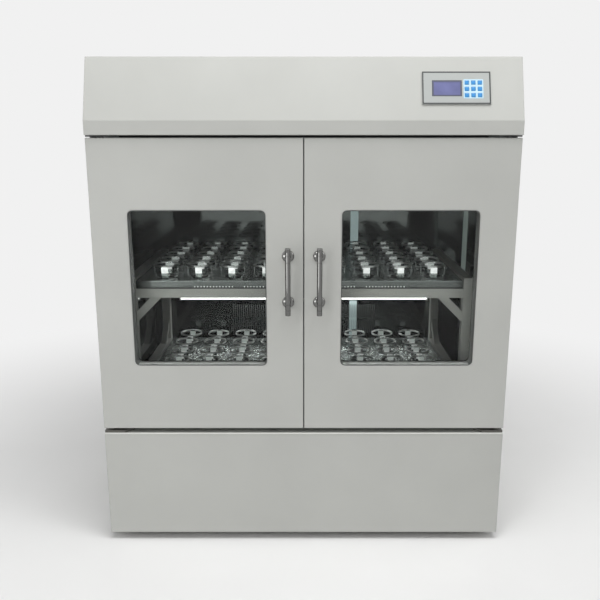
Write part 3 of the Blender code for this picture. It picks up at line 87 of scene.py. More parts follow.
# Trays and clamps
CLAMP_COLUMNS = 9
CLAMP_ROWS = 5
CLAMP_PITCH_X = 0.103
CLAMP_PITCH_Y = 0.107
CLAMP_HEIGHT = 0.042
CLAMP_SHEET = 0.0012
PETAL_WIDTH = 0.020
PETAL_TIP_WIDTH = 0.017
PAD_LOW = 0.0170
PAD_HIGH = 0.0355
PAD_RADIUS = 0.0373
RING_RADIUS = 0.0384
RING_WIRE = 0.0015
RING_HEIGHT = 0.0395
RING_STEPS = 28
LIP_HOLE_PITCH = 0.0095
LIP_HOLE_RADIUS = 0.0015
LIP_HOLE_DROP = 0.0186
LIP_SHADOW_HEIGHT = 0.0043
CLAMP_SHADOW_DISC_RADIUS = 0.0265
TRAY_LIP = 0.0247

# Duct cover
STRIP_X = 0.193
STRIP_WIDTH = 0.0295
STRIP_INSET = 0.004
GRILLE_SIDE = 0.272
WALL_STRIP_NEAR = 0.412
WALL_STRIP_FAR = 0.478
WALL_STRIP_LOW = 0.762
GRILLE_LOW = 0.470
GRILLE_ROW_HEIGHT = 0.052
GRILLE_ROW_GAP = 0.009
GRILLE_BARS = 71

# Control station
STATION_TILT_DEGREES = 71.265
STATION_X = 0.4155
PANEL_WIDTH = 0.187
PANEL_HEIGHT = 0.092
PANEL_THICKNESS = 0.004
PANEL_RADIUS = 0.0012
DISPLAY_WIDTH = 0.079
DISPLAY_HEIGHT = 0.0425
DISPLAY_DROP = 0.0015
DISPLAY_OFFSET = -0.026
KEY_PITCH = 0.0177
KEY_FIELD_OFFSET = 0.046
KEY_FIELD_DROP = 0.0032
KEY_SIZE = 0.0117
KEY_CLEARANCE = 0.0004
BORDER_WIDTH = 0.0040
BEZEL_WIDTH = 0.0042


def node_tree(name):
    made = bpy.data.materials.new(name)
    made.use_nodes = True
    return made, made.node_tree, made.node_tree.nodes["Principled BSDF"]


def grain_nodes(tree, stretch, scale, detail, roughness=0.55):
    """Noise in the object's own metres, stretched along an axis for a rolled or brushed grain."""
    nodes = tree.nodes
    place = nodes.new("ShaderNodeTexCoord")
    mapping = nodes.new("ShaderNodeMapping")
    mapping.inputs["Scale"].default_value = stretch
    noise = nodes.new("ShaderNodeTexNoise")
    noise.inputs["Scale"].default_value = scale
    noise.inputs["Detail"].default_value = detail
    noise.inputs["Roughness"].default_value = roughness
    tree.links.new(place.outputs["Object"], mapping.inputs["Vector"])
    tree.links.new(mapping.outputs["Vector"], noise.inputs["Vector"])
    return noise


def spread(tree, source, low, high):
    node = tree.nodes.new("ShaderNodeMapRange")
    node.inputs["From Min"].default_value = 0.3
    node.inputs["From Max"].default_value = 0.7
    node.inputs["To Min"].default_value = low
    node.inputs["To Max"].default_value = high
    tree.links.new(source, node.inputs["Value"])
    return node.outputs["Result"]


def two_tone(tree, factor, first, second):
    node = tree.nodes.new("ShaderNodeMix")
    node.data_type = "RGBA"
    node.inputs["A"].default_value = (*first, 1.0)
    node.inputs["B"].default_value = (*second, 1.0)
    tree.links.new(factor, node.inputs["Factor"])
    return node.outputs["Result"]


def relief(tree, shader, heights, normal=None):
    """Stack of bumps: (height socket, distance in metres, strength)."""
    for height, distance, strength in heights:
        bump = tree.nodes.new("ShaderNodeBump")
        bump.inputs["Distance"].default_value = distance
        bump.inputs["Strength"].default_value = strength
        tree.links.new(height, bump.inputs["Height"])
        if normal:
            tree.links.new(normal, bump.inputs["Normal"])
        normal = bump.outputs["Normal"]
    tree.links.new(normal, shader.inputs["Normal"])


def shade(colour, amount):
    return tuple(min(1.0, channel * amount) for channel in colour)


def powder_coat(name, colour, roughness=0.42, tone=0.035, fold=0.0):
    """Baked powder coat: fine orange peel, a trace of uneven tone, and folds that shade as rounded by a radius."""
    made, tree, shader = node_tree(name)
    cloud = grain_nodes(tree, (1.0, 1.0, 1.0), 3.5, 5.0)
    peel = grain_nodes(tree, (1.0, 1.0, 1.0), 520.0, 2.0)
    speck = grain_nodes(tree, (1.0, 1.0, 1.0), 1900.0, 1.0)
    base = two_tone(tree, spread(tree, cloud.outputs["Fac"], 0.0, 1.0), shade(colour, 1 - tone), shade(colour, 1 + tone))
    tree.links.new(base, shader.inputs["Base Color"])
    tree.links.new(spread(tree, cloud.outputs["Fac"], roughness - 0.05, roughness + 0.06), shader.inputs["Roughness"])
    normal = None
    if fold:
        rounded = tree.nodes.new("ShaderNodeBevel")
        rounded.samples = 6
        rounded.inputs["Radius"].default_value = fold
        normal = rounded.outputs["Normal"]
    relief(tree, shader, [(peel.outputs["Fac"], 0.00022, 0.45), (speck.outputs["Fac"], 0.00005, 0.3)], normal)
    shader.inputs["Specular IOR Level"].default_value = 0.45
    return made


def sheet_metal(name, colour, roughness, wave=0.0, wave_scale=5.0, stretch=(1.0, 1.0, 1.0), grain=0.0, tone=0.05,
                metallic=1.0, glow=None):
    """Bare sheet: rolled grain along one axis, and where wave is set the slow waviness of thin polished sheet."""
    made, tree, shader = node_tree(name)
    cloud = grain_nodes(tree, (1.0, 1.0, 1.0), wave_scale, 3.0, 0.45)
    lines = grain_nodes(tree, stretch, 240.0, 3.0)
    base = two_tone(tree, spread(tree, lines.outputs["Fac"], 0.0, 1.0), shade(colour, 1 - tone), shade(colour, 1 + tone))
    tree.links.new(base, shader.inputs["Base Color"])
    tree.links.new(spread(tree, lines.outputs["Fac"], roughness * 0.8, roughness * 1.25), shader.inputs["Roughness"])
    heights = []
    if wave:
        heights.append((cloud.outputs["Fac"], wave, 1.0))
    if grain:
        heights.append((lines.outputs["Fac"], grain, 0.5))
    if heights:
        relief(tree, shader, heights)
    shader.inputs["Metallic"].default_value = metallic
    # glow paints in light that the lamps don't give: the sheet glows though it is no lamp
    if glow:
        shader.inputs["Emission Color"].default_value = (*glow, 1.0)
        shader.inputs["Emission Strength"].default_value = 1.0
    return made


def spangled_sheet(name, colour, roughness, dull, bright):
    """Sheet whose face breaks into small crystals and scuffs, between a dull and a bright share of its colour."""
    made, tree, shader = node_tree(name)
    place = tree.nodes.new("ShaderNodeTexCoord")
    cells = tree.nodes.new("ShaderNodeTexVoronoi")
    cells.inputs["Scale"].default_value = 210.0
    tree.links.new(place.outputs["Object"], cells.inputs["Vector"])
    scuff = grain_nodes(tree, (2.5, 1.0, 1.0), 70.0, 6.0)
    base = two_tone(tree, spread(tree, cells.outputs["Color"], 0.0, 1.0), shade(colour, dull), shade(colour, bright))
    tree.links.new(base, shader.inputs["Base Color"])
    tree.links.new(spread(tree, scuff.outputs["Fac"], roughness * 0.6, roughness * 1.6), shader.inputs["Roughness"])
    relief(tree, shader, [(cells.outputs["Distance"], 0.0013, 0.8), (scuff.outputs["Fac"], 0.0008, 0.6)])
    shader.inputs["Metallic"].default_value = 0.8
    return made


def moulded(name, colour, roughness, grain=0.00008, coat=0.0, glow=None):
    """Moulded plastic or rubber with a fine texture; glow adds a painted glow, painted light on a part that is no lamp.
    """
    made, tree, shader = node_tree(name)
    cloud = grain_nodes(tree, (1.0, 1.0, 1.0), 14.0, 4.0)
    fine = grain_nodes(tree, (1.0, 1.0, 1.0), 1300.0, 2.0)
    base = two_tone(tree, spread(tree, cloud.outputs["Fac"], 0.0, 1.0), shade(colour, 0.9), shade(colour, 1.1))
    tree.links.new(base, shader.inputs["Base Color"])
    tree.links.new(spread(tree, fine.outputs["Fac"], roughness - 0.06, roughness + 0.08), shader.inputs["Roughness"])
    relief(tree, shader, [(fine.outputs["Fac"], grain, 0.6)])
    shader.inputs["Coat Weight"].default_value = coat
    if glow:
        shader.inputs["Emission Color"].default_value = (*glow, 1.0)
        shader.inputs["Emission Strength"].default_value = 1.0
    return made


def rough_cast(name, colour, roughness, metallic=1.0):
    made, tree, shader = node_tree(name)
    cloud = grain_nodes(tree, (1.0, 1.0, 1.0), 60.0, 6.0)
    sand = grain_nodes(tree, (1.0, 1.0, 1.0), 700.0, 3.0)
    base = two_tone(tree, spread(tree, cloud.outputs["Fac"], 0.0, 1.0), shade(colour, 0.75), shade(colour, 1.2))
    tree.links.new(base, shader.inputs["Base Color"])
    tree.links.new(spread(tree, cloud.outputs["Fac"], roughness - 0.1, roughness + 0.1), shader.inputs["Roughness"])
    relief(tree, shader, [(sand.outputs["Fac"], 0.0003, 0.7), (cloud.outputs["Fac"], 0.0004, 0.4)])
    shader.inputs["Metallic"].default_value = metallic
    return made


def clear_glass(name, tint):
    """Window glass with a faint film of dust in its roughness."""
    made, tree, shader = node_tree(name)
    film = grain_nodes(tree, (1.0, 1.0, 1.0), 9.0, 4.0)
    tree.links.new(spread(tree, film.outputs["Fac"], 0.0, 0.012), shader.inputs["Roughness"])
    shader.inputs["Base Color"].default_value = (*tint, 1.0)
    shader.inputs["Transmission Weight"].default_value = 1.0
    shader.inputs["IOR"].default_value = 1.15
    return made


def lit_tube(name, colour, strength):
    """Frosted lamp glass whose glow varies a little over its surface."""
    made, tree, shader = node_tree(name)
    frost = grain_nodes(tree, (0.2, 1.0, 1.0), 60.0, 2.0)
    glow = two_tone(tree, spread(tree, frost.outputs["Fac"], 0.0, 1.0), shade(colour, 0.95), colour)
    tree.links.new(glow, shader.inputs["Emission Color"])
    tree.links.new(glow, shader.inputs["Base Color"])
    shader.inputs["Emission Strength"].default_value = strength
    shader.inputs["Roughness"].default_value = 0.3
    return made


def display_glass(name, colour):
    """Back-lit display behind a smooth window: a faint dot grid and a glow that varies a little over it."""
    made, tree, shader = node_tree(name)
    place = tree.nodes.new("ShaderNodeTexCoord")
    grid = tree.nodes.new("ShaderNodeTexVoronoi")
    grid.distance = "CHEBYCHEV"
    grid.inputs["Randomness"].default_value = 0.0
    grid.inputs["Scale"].default_value = 1600.0
    tree.links.new(place.outputs["Object"], grid.inputs["Vector"])
    cloud = grain_nodes(tree, (1.0, 1.0, 1.0), 22.0, 2.0)
    base = two_tone(tree, spread(tree, cloud.outputs["Fac"], 0.0, 1.0), shade(colour, 0.88), shade(colour, 1.18))
    dots = tree.nodes.new("ShaderNodeMix")
    dots.data_type = "RGBA"
    dots.blend_type = "MULTIPLY"
    dots.inputs["Factor"].default_value = 0.18
    tree.links.new(base, dots.inputs["A"])
    tree.links.new(grid.outputs["Distance"], dots.inputs["B"])
    tree.links.new(dots.outputs["Result"], shader.inputs["Base Color"])
    tree.links.new(dots.outputs["Result"], shader.inputs["Emission Color"])
    shader.inputs["Emission Strength"].default_value = 0.12
    shader.inputs["Roughness"].default_value = 0.12
    return made


def box_points(shape, low, high):
    points = []
    for z in (low[2], high[2]):
        for y in (low[1], high[1]):
            for x in (low[0], high[0]):
                points.append(shape.verts.new((x, y, z)))
    for order in ((0, 2, 3, 1), (4, 5, 7, 6), (0, 1, 5, 4), (2, 6, 7, 3), (0, 4, 6, 2), (1, 3, 7, 5)):
        shape.faces.new([points[index] for index in order])
    return points


def lift(point, axis, height):
    if axis == "X":
        return Vector((height, point[0], point[1]))
    if axis == "Y":
        return Vector((point[0], height, point[1]))
    return Vector((point[0], point[1], height))


def loop_at(shape, outline, axis, height):
    return [shape.verts.new(lift(point, axis, height)) for point in outline]


def join_loops(shape, first, second):
    for index in range(len(first)):
        following = (index + 1) % len(first)
        shape.faces.new((first[index], first[following], second[following], second[index]))


def fill(shape, loops):
    edges = []
    for loop in loops:
        for index, point in enumerate(loop):
            following = loop[(index + 1) % len(loop)]
            edges.append(shape.edges.get((point, following)) or shape.edges.new((point, following)))
    bmesh.ops.triangle_fill(shape, use_beauty=True, edges=edges)


def plate(shape, outline, holes, axis, start, end):
    near = [loop_at(shape, line, axis, start) for line in [outline] + holes]
    far = [loop_at(shape, line, axis, end) for line in [outline] + holes]
    fill(shape, near)
    fill(shape, far)
    for first, second in zip(near, far):
        join_loops(shape, first, second)


def turned(shape, profile, centre, axis, sides, closed=False):
    """A turned form from (radius, height) points; a radius of 0 closes it to a point."""
    rings = []
    for radius, height in profile:
        if radius == 0:
            rings.append([shape.verts.new(Vector(centre) + lift((0, 0), axis, height))])
            continue
        ring = []
        for step in range(sides):
            angle = math.tau * step / sides
            offset = lift((radius * math.cos(angle), radius * math.sin(angle)), axis, height)
            ring.append(shape.verts.new(Vector(centre) + offset))
        rings.append(ring)
    if closed:
        rings.append(rings[0])
    for first, second in zip(rings, rings[1:]):
        if len(first) == 1 or len(second) == 1:
            tip, ring = (first[0], second) if len(first) == 1 else (second[0], first)
            for index in range(len(ring)):
                shape.faces.new((tip, ring[index], ring[(index + 1) % len(ring)]))
        else:
            join_loops(shape, first, second)
    for ring in (rings[0], rings[-1]):
        if not closed and len(ring) > 1:
            shape.faces.new(ring)


def rectangle(low_a, low_b, high_a, high_b):
    return [(low_a, low_b), (high_a, low_b), (high_a, high_b), (low_a, high_b)]


def round_rectangle(low_a, low_b, high_a, high_b, radius, steps):
    points = []
    for a, b, quarter in ((high_a, high_b, 0), (low_a, high_b, 1), (low_a, low_b, 2), (high_a, low_b, 3)):
        centre_a = a - math.copysign(radius, a - (low_a + high_a) / 2)
        centre_b = b - math.copysign(radius, b - (low_b + high_b) / 2)
        for step in range(steps + 1):
            angle = math.pi / 2 * (quarter + step / steps)
            points.append((centre_a + radius * math.cos(angle), centre_b + radius * math.sin(angle)))
    return points


def publish(name, shape, surface, body, replaced=(), bevel=0.0, segments=2, matrix=None, sharp=35):
    """A finished piece from a bmesh, riding on its body."""
    if matrix:
        bmesh.ops.transform(shape, matrix=matrix, verts=shape.verts)
    bmesh.ops.recalc_face_normals(shape, faces=shape.faces)
    mesh = bpy.data.meshes.new(name)
    shape.to_mesh(mesh)
    shape.free()
    mesh.materials.append(surface)
    mesh.shade_smooth()
    mesh.set_sharp_from_angle(angle=math.radians(sharp))
    made = bpy.data.objects.new(name, mesh)
    bpy.context.scene.collection.objects.link(made)
    if bevel:
        soften(made, bevel, segments)
    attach(made, body)
    if replaced:
        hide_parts(*replaced)
    return made


def soften(thing, width, segments=2, weld=False):
    if weld:
        joined = thing.modifiers.new("weld", "WELD")
        joined.merge_threshold = 0.00001
    bevel = thing.modifiers.new("edges", "BEVEL")
    bevel.width = width
    bevel.segments = segments
    bevel.limit_method = "ANGLE"
    bevel.angle_limit = math.radians(32)
    bevel.harden_normals = True
    bevel.use_clamp_overlap = True


def dress(names, surface):
    for name in names:
        node = NODES[name]
        node.data.materials.clear()
        node.data.materials.append(surface)
        for face in node.data.polygons:
            face.material_index = 0


def tray_tops():
    for tier in ("lower", "upper"):
        yield tier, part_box(tier + "_tray")[1].z - CLAMP_HEIGHT


def clamp_places():
    low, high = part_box("upper_tray")
    middle_x = (low.x + high.x) / 2
    middle_y = (low.y + high.y) / 2
    for row in range(CLAMP_ROWS):
        for column in range(CLAMP_COLUMNS):
            yield (middle_x + (column - (CLAMP_COLUMNS - 1) / 2) * CLAMP_PITCH_X,
                   middle_y + (row - (CLAMP_ROWS - 1) / 2) * CLAMP_PITCH_Y)


def petal(shape, matrix):
    """One spring-steel finger: flat foot, rounded heel, slightly bowed blade and an outward tip."""
    inner = [(0.0060, 0.0004), (0.0200, 0.0004), (0.0290, 0.0006), (0.0328, 0.0030), (0.0345, 0.0075),
             (0.0352, 0.0125), (0.0355, 0.0240), (0.0358, 0.0365), (0.0367, 0.0400), (0.0384, 0.0415)]
    half = PETAL_WIDTH / 2
    widths = [0.35, 0.8, 1.0, 1.0, 1.0, 1.0, 1.0, 0.98, 0.9, PETAL_TIP_WIDTH / PETAL_WIDTH]
    rings = []
    for index, (radius, height) in enumerate(inner):
        before = inner[max(0, index - 1)]
        after = inner[min(len(inner) - 1, index + 1)]
        along = Vector((after[0] - before[0], after[1] - before[1])).normalized()
        out = Vector((along.y, -along.x)) * CLAMP_SHEET
        if out.x < 0:
            out = -out
        if index < 3:
            out = Vector((0.0, CLAMP_SHEET))
        width = half * widths[index]
        ring = [(radius, -width, height), (radius, width, height),
                (radius + out.x, width, height + out.y), (radius + out.x, -width, height + out.y)]
        rings.append([shape.verts.new(matrix @ Vector(point)) for point in ring])
    for first, second in zip(rings, rings[1:]):
        join_loops(shape, first, second)
    shape.faces.new(rings[0])
    shape.faces.new(rings[-1])


def ring_loop(shape, centre, height, radius, wire, steps, sides):
    rings = []
    for step in range(steps):
        angle = math.tau * step / steps
        ring = []
        for side in range(sides):
            turn = math.tau * side / sides
            reach = radius + wire * math.cos(turn)
            ring.append(shape.verts.new((centre[0] + reach * math.cos(angle), centre[1] + reach * math.sin(angle),
                                         height + wire * math.sin(turn))))
        rings.append(ring)
    for index in range(steps):
        join_loops(shape, rings[index], rings[(index + 1) % steps])


def clamp_pad(shape, matrix):
    """The blade's outer facing, with the small oval pressing that stiffens it; its pale glowing steel is a painted
    highlight.
    """
    near = PAD_RADIUS - 0.0007
    outline = round_rectangle(-PETAL_WIDTH / 2, PAD_LOW, PETAL_WIDTH / 2, PAD_HIGH, 0.0012, 2)
    middle = (PAD_LOW + PAD_HIGH) / 2
    rim = [(0.0042 * math.cos(math.tau * step / 10), middle + 0.0026 * math.sin(math.tau * step / 10))
           for step in range(10)]
    crown = [(0.6 * across, middle + 0.6 * (up - middle)) for across, up in rim]
    before = set(shape.verts)
    back = loop_at(shape, outline, "X", near)
    face = loop_at(shape, outline, "X", PAD_RADIUS)
    foot = loop_at(shape, rim, "X", PAD_RADIUS)
    top = loop_at(shape, crown, "X", PAD_RADIUS + 0.0006)
    shape.faces.new(back)
    join_loops(shape, back, face)
    fill(shape, [face, foot])
    join_loops(shape, foot, top)
    shape.faces.new(top)
    made = [point for point in shape.verts if point not in before]
    bmesh.ops.transform(shape, matrix=matrix, verts=made)


def make_trays(tray_metal, lip_metal, petal_and_highlight_metal, glowing_pad_steel, glowing_inner_pad_steel, spring_metal, screw_metal, glowing_dot_paint, shadow_black):
    low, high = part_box("upper_tray")
    rng = random.Random(7)
    for tier, top in tray_tops():
        shape = bmesh.new()
        outline = rectangle(low.x, low.y, high.x, high.y)
        inner = rectangle(low.x + SHEET, low.y + SHEET, high.x - SHEET, high.y - SHEET)
        edge = loop_at(shape, outline, "Z", top)
        rim_outer = loop_at(shape, outline, "Z", top - TRAY_LIP)
        rim_inner = loop_at(shape, inner, "Z", top - TRAY_LIP)
        under = loop_at(shape, inner, "Z", top - SHEET)
        shape.faces.new(edge)
        join_loops(shape, edge, rim_outer)
        join_loops(shape, rim_outer, rim_inner)
        join_loops(shape, rim_inner, under)
        shape.faces.new(under)
        made = publish(tier + "_tray_sheet", shape, tray_metal, "platform", replaced=[tier + "_tray"],
                       bevel=0.0009)
        made.data.materials.append(lip_metal)
        for face in made.data.polygons:
            if abs(face.normal.z) < 0.5:
                face.material_index = 1

        # Painted shadow: a black strip along the foot of the tray's lip, standing in for the shade of the gap above the
        # rail
        shape = bmesh.new()
        box_points(shape, (low.x + 0.001, low.y - 0.0002, top - TRAY_LIP),
                   (high.x - 0.001, low.y + 0.0002, top - TRAY_LIP + LIP_SHADOW_HEIGHT))
        publish(tier + "_tray_lip_painted_shadow", shape, shadow_black, "platform")
        # Painted highlight: a strip of the clamps' paler steel along the top of the tray's lip, where its edge catches
        # the light
        shape = bmesh.new()
        box_points(shape, (low.x + 0.001, low.y - 0.0002, top - 0.0017), (high.x - 0.001, low.y + 0.0002, top - 0.0006))
        publish(tier + "_tray_lip_painted_highlight", shape, petal_and_highlight_metal, "platform")

        petals = bmesh.new()
        rings = bmesh.new()
        pads = bmesh.new()
        screws = bmesh.new()
        discs = bmesh.new()
        inner_pads = bmesh.new()
        for x, y in clamp_places():
            jitter = rng.uniform(-2.5, 2.5)
            for turn in range(4):
                angle = math.radians(90 * turn + jitter)
                petal(petals, Matrix.Translation((x, y, top)) @ Matrix.Rotation(angle, 4, "Z"))
            sag = rng.uniform(-0.0012, 0.0008)
            ring_loop(rings, (x, y), top + RING_HEIGHT + sag, RING_RADIUS, RING_WIRE, RING_STEPS, 6)
            ring_loop(rings, (x, y), top + RING_HEIGHT + sag - 2.2 * RING_WIRE, RING_RADIUS, RING_WIRE, RING_STEPS, 6)
            for turn in (1, 3):
                angle = math.radians(90 * turn + jitter)
                clamp_pad(pads, Matrix.Translation((x, y, top)) @ Matrix.Rotation(angle, 4, "Z"))
            # Painted light: the inner facing is a paler, glowing steel
            points = box_points(inner_pads, (0.0344, -PETAL_WIDTH / 2, PAD_LOW), (0.0350, PETAL_WIDTH / 2, PAD_HIGH))
            turn = Matrix.Translation((x, y, top)) @ Matrix.Rotation(math.radians(90 + jitter), 4, "Z")
            bmesh.ops.transform(inner_pads, matrix=turn, verts=points)
            points = box_points(pads, (0.0340, -PETAL_WIDTH * 0.46, PAD_LOW), (0.0343, PETAL_WIDTH * 0.46, PAD_LOW + 0.0055))
            bmesh.ops.transform(pads, matrix=turn, verts=points)
            # Painted shadow: a black disc under each clamp, where the clamp's shade falls on the tray
            turned(discs, [(CLAMP_SHADOW_DISC_RADIUS, 0.0018), (CLAMP_SHADOW_DISC_RADIUS - 0.0004, 0.0025), (0.0, 0.0025)],
                   (x, y, top), "Z", 20)
            turned(screws, [(0.0105, 0.0025), (0.0105, 0.0032), (0.0060, 0.0033), (0.0058, 0.0042), (0.0040, 0.0050),
                            (0.0, 0.0053)], (x, y, top), "Z", 12)
        publish(tier + "_clamp_shadow_discs", discs, shadow_black, "platform")
        publish(tier + "_clamp_fingers", petals, petal_and_highlight_metal, "platform", sharp=50)
        publish(tier + "_clamp_pads", pads, glowing_pad_steel, "platform")
        publish(tier + "_clamp_inner_pads", inner_pads, glowing_inner_pad_steel, "platform")
        publish(tier + "_clamp_springs", rings, spring_metal, "platform", sharp=80)
        publish(tier + "_clamp_screws", screws, screw_metal, "platform")

        # Painted light: the lip's holes are small glowing domes, standing in for the light seen through them
        glowing_dots = bmesh.new()
        middle = (low.x + high.x) / 2
        places = []
        for index in range(36):
            places.append(middle + (index - 17.5) * LIP_HOLE_PITCH)
        for side in (-1, 1):
            for index in range(13):
                places.append(middle + side * (0.203 + index * LIP_HOLE_PITCH))
        for x in places:
            turned(glowing_dots, [(LIP_HOLE_RADIUS, 0.0), (LIP_HOLE_RADIUS * 0.8, -0.0007), (0.0, -0.0010)],
                   (x, low.y, top - LIP_HOLE_DROP), "Y", 10)
        publish(tier + "_tray_glowing_dots", glowing_dots, glowing_dot_paint, "platform")


def window_outline(side, margin=0.0, radius=WINDOW_RADIUS):
    low, high = sorted((side * (WINDOW_STILE - margin), side * (WINDOW_STILE + WINDOW_WIDTH + margin)))
    return round_rectangle(low, WINDOW_SILL - margin, high, WINDOW_SILL + WINDOW_HEIGHT + margin, radius, WINDOW_STEPS)


def make_window(door, side, glass, spacer, pale_caps_and_lit_ledge, edge_rubber_and_shadow):
    low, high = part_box(door + "_inner_glass")
    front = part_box(door + "_skin")[0].y
    pane = bmesh.new()
    plate(pane, rectangle(low.x + GAP, low.z + GAP, high.x - GAP, high.z - GAP), [], "Y", high.y - GLASS_THICKNESS, high.y)
    publish(door + "_inner_pane", pane, glass, door, replaced=[door + "_inner_glass"])
    ring = bmesh.new()
    plate(ring, rectangle(low.x, low.z, high.x, high.z), [window_outline(side)], "Y", low.y, high.y - GLASS_THICKNESS - GAP)
    publish(door + "_window_spacer", ring, spacer, door, bevel=0.0006)
    # Painted light: a pale sill over the spacer's dark coat, lighter where the light from above falls on it
    lit_shelf = bmesh.new()
    near, far = sorted((side * (WINDOW_STILE + WINDOW_RADIUS), side * (WINDOW_STILE + WINDOW_WIDTH - WINDOW_RADIUS)))
    box_points(lit_shelf, (near - 0.011, low.y + 0.001, WINDOW_SILL + 0.0004), (far + 0.011, low.y + 0.019, WINDOW_SILL + 0.0012))
    publish(door + "_window_lit_ledge", lit_shelf, pale_caps_and_lit_ledge, door, bevel=0.0002)
    # Near-black rubber trim round the window; its dark line at the top and sides also paints the window's shadow
    trim = bmesh.new()
    plate(trim, window_outline(side), [window_outline(side, -TRIM_WIDTH, WINDOW_RADIUS - TRIM_WIDTH)], "Y",
          front + 0.0004, front + SHEET + 0.0002)
    publish(door + "_window_gasket", trim, edge_rubber_and_shadow, door, bevel=0.0003)


def make_handle(door, chrome):
    low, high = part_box(door + "_handle")
    x = (low.x + high.x) / 2
    middle = (low.z + high.z) / 2
    half = (high.z - low.z) / 2
    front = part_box(door + "_skin")[0].y
    y = front - HANDLE_STANDOFF
    shape = bmesh.new()
    edge = 0.0012
    profile = [(0.0, -half), (HANDLE_RADIUS - edge, -half), (HANDLE_RADIUS - 0.3 * edge, -half + 0.3 * edge),
               (HANDLE_RADIUS, -half + edge)]
    step_at = HANDLE_POST_SPACING / 2
    for join in (-half + HANDLE_FOOT_SLEEVE * 0.5, -half + HANDLE_FOOT_SLEEVE, half - HANDLE_TOP_SLEEVE,
                 half - HANDLE_TOP_SLEEVE * 0.5):
        profile += [(HANDLE_RADIUS, join - 0.0009), (HANDLE_RADIUS - 0.0010, join - 0.0005),
                    (HANDLE_RADIUS - 0.0010, join + 0.0005), (HANDLE_RADIUS, join + 0.0009)]
    profile += [(HANDLE_RADIUS, half - edge), (HANDLE_RADIUS - 0.3 * edge, half - 0.3 * edge),
                (HANDLE_RADIUS - edge, half), (0.0, half)]
    turned(shape, profile, (x, y, middle), "Z", HANDLE_SIDES)
    dome = [(HANDLE_POST_RADIUS, -HANDLE_STANDOFF + 0.004), (HANDLE_POST_RADIUS, -ROSETTE_THICKNESS - 0.0025),
            (HANDLE_POST_RADIUS + 0.0008, -ROSETTE_THICKNESS - 0.0008)]
    for share in (0.45, 0.6, 0.75, 0.88, 0.96, 1.0):
        rise = math.sqrt(max(0.0, 1 - share ** 2))
        dome.append((ROSETTE_RADIUS * share, -0.0015 - (ROSETTE_THICKNESS - 0.0015) * rise))
    dome += [(ROSETTE_RADIUS, -GAP), (0.0, -GAP)]
    for end in (-1, 1):
        turned(shape, dome, (x, front, middle + end * step_at), "Y", HANDLE_SIDES)
    publish(door + "_bar_handle", shape, chrome, door, replaced=[door + "_handle"])


def make_seal(door, rubber):
    """Bellows gasket: a flat foot, a groove and a rounded lip, mitred round the door."""
    low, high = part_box(door + "_seal")
    width = 0.014
    deep = high.y - low.y
    section = [(0.0, 0.0), (width, 0.0), (width, 0.22 * deep), (0.82 * width, 0.30 * deep), (0.82 * width, 0.42 * deep),
               (0.98 * width, 0.55 * deep), (0.98 * width, 0.85 * deep), (0.85 * width, deep), (0.15 * width, deep),
               (0.02 * width, 0.85 * deep), (0.02 * width, 0.55 * deep), (0.18 * width, 0.42 * deep),
               (0.18 * width, 0.30 * deep), (0.0, 0.22 * deep)]
    shape = bmesh.new()
    rings = []
    for sign_x, sign_z in ((-1, -1), (1, -1), (1, 1), (-1, 1)):
        corner_x = low.x if sign_x < 0 else high.x
        corner_z = low.z if sign_z < 0 else high.z
        rings.append([shape.verts.new((corner_x - sign_x * inset, low.y + back, corner_z - sign_z * inset))
                      for inset, back in section])
    for index in range(4):
        join_loops(shape, rings[index], rings[(index + 1) % 4])
    publish(door + "_gasket", shape, rubber, door, replaced=[door + "_seal"])


def make_duct_cover(film, glowing_wall_film, rib_metal, screw_metal):
    low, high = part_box("duct_cover")
    # Painted light: the rear strip's film glows, though it is no lamp
    strips = bmesh.new()
    box_points(strips, (STRIP_X - STRIP_WIDTH / 2, low.y - 0.0008, low.z + STRIP_INSET),
               (STRIP_X + STRIP_WIDTH / 2, low.y - 0.0002, high.z - STRIP_INSET))
    publish("rear_cover_strip", strips, film, "cabinet")

    ribs = bmesh.new()
    pitch = 2 * (high.x + GAP - GRILLE_SIDE) / (GRILLE_BARS + 1)
    for row in range(2):
        foot = GRILLE_LOW + row * (GRILLE_ROW_HEIGHT + GRILLE_ROW_GAP)
        for index in range(GRILLE_BARS):
            x = pitch * (index - (GRILLE_BARS - 1) / 2)
            box_points(ribs, (x - 0.0009, low.y - 0.0009, foot), (x + 0.0009, low.y - 0.0001, foot + GRILLE_ROW_HEIGHT))
    publish("grille_ribs", ribs, rib_metal, "cabinet")

    # Painted light: the side wall strip's film glows, though it is no lamp
    wall = bmesh.new()
    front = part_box("left_door_skin")[0].y
    side = high.x + GAP
    box_points(wall, (side - 0.0012, front + WALL_STRIP_NEAR, WALL_STRIP_LOW),
               (side - 0.0004, front + WALL_STRIP_FAR, high.z - STRIP_INSET))
    publish("side_wall_strip", wall, glowing_wall_film, "cabinet")

    screws = bmesh.new()
    for x in (-0.53, -0.265, 0.0, 0.265, 0.53):
        for z in (low.z + 0.02, high.z - 0.02):
            screw(screws, (x, low.y, z), Matrix.Rotation(math.radians(90), 4, "X"))
    publish("duct_cover_screws", screws, screw_metal, "cabinet")


def screw(shape, place, turn, radius=0.0042):
    """Pan screw, its head rising along the turned +Z."""
    before = set(shape.verts)
    rise = radius * 0.45
    turned(shape, [(radius, 0.0), (radius, rise * 0.35), (radius * 0.86, rise * 0.75), (radius * 0.55, rise * 0.97),
                   (0.0, rise)], (0, 0, 0), "Z", 14)
    made = [point for point in shape.verts if point not in before]
    bmesh.ops.transform(shape, matrix=Matrix.Translation(place) @ turn, verts=made)


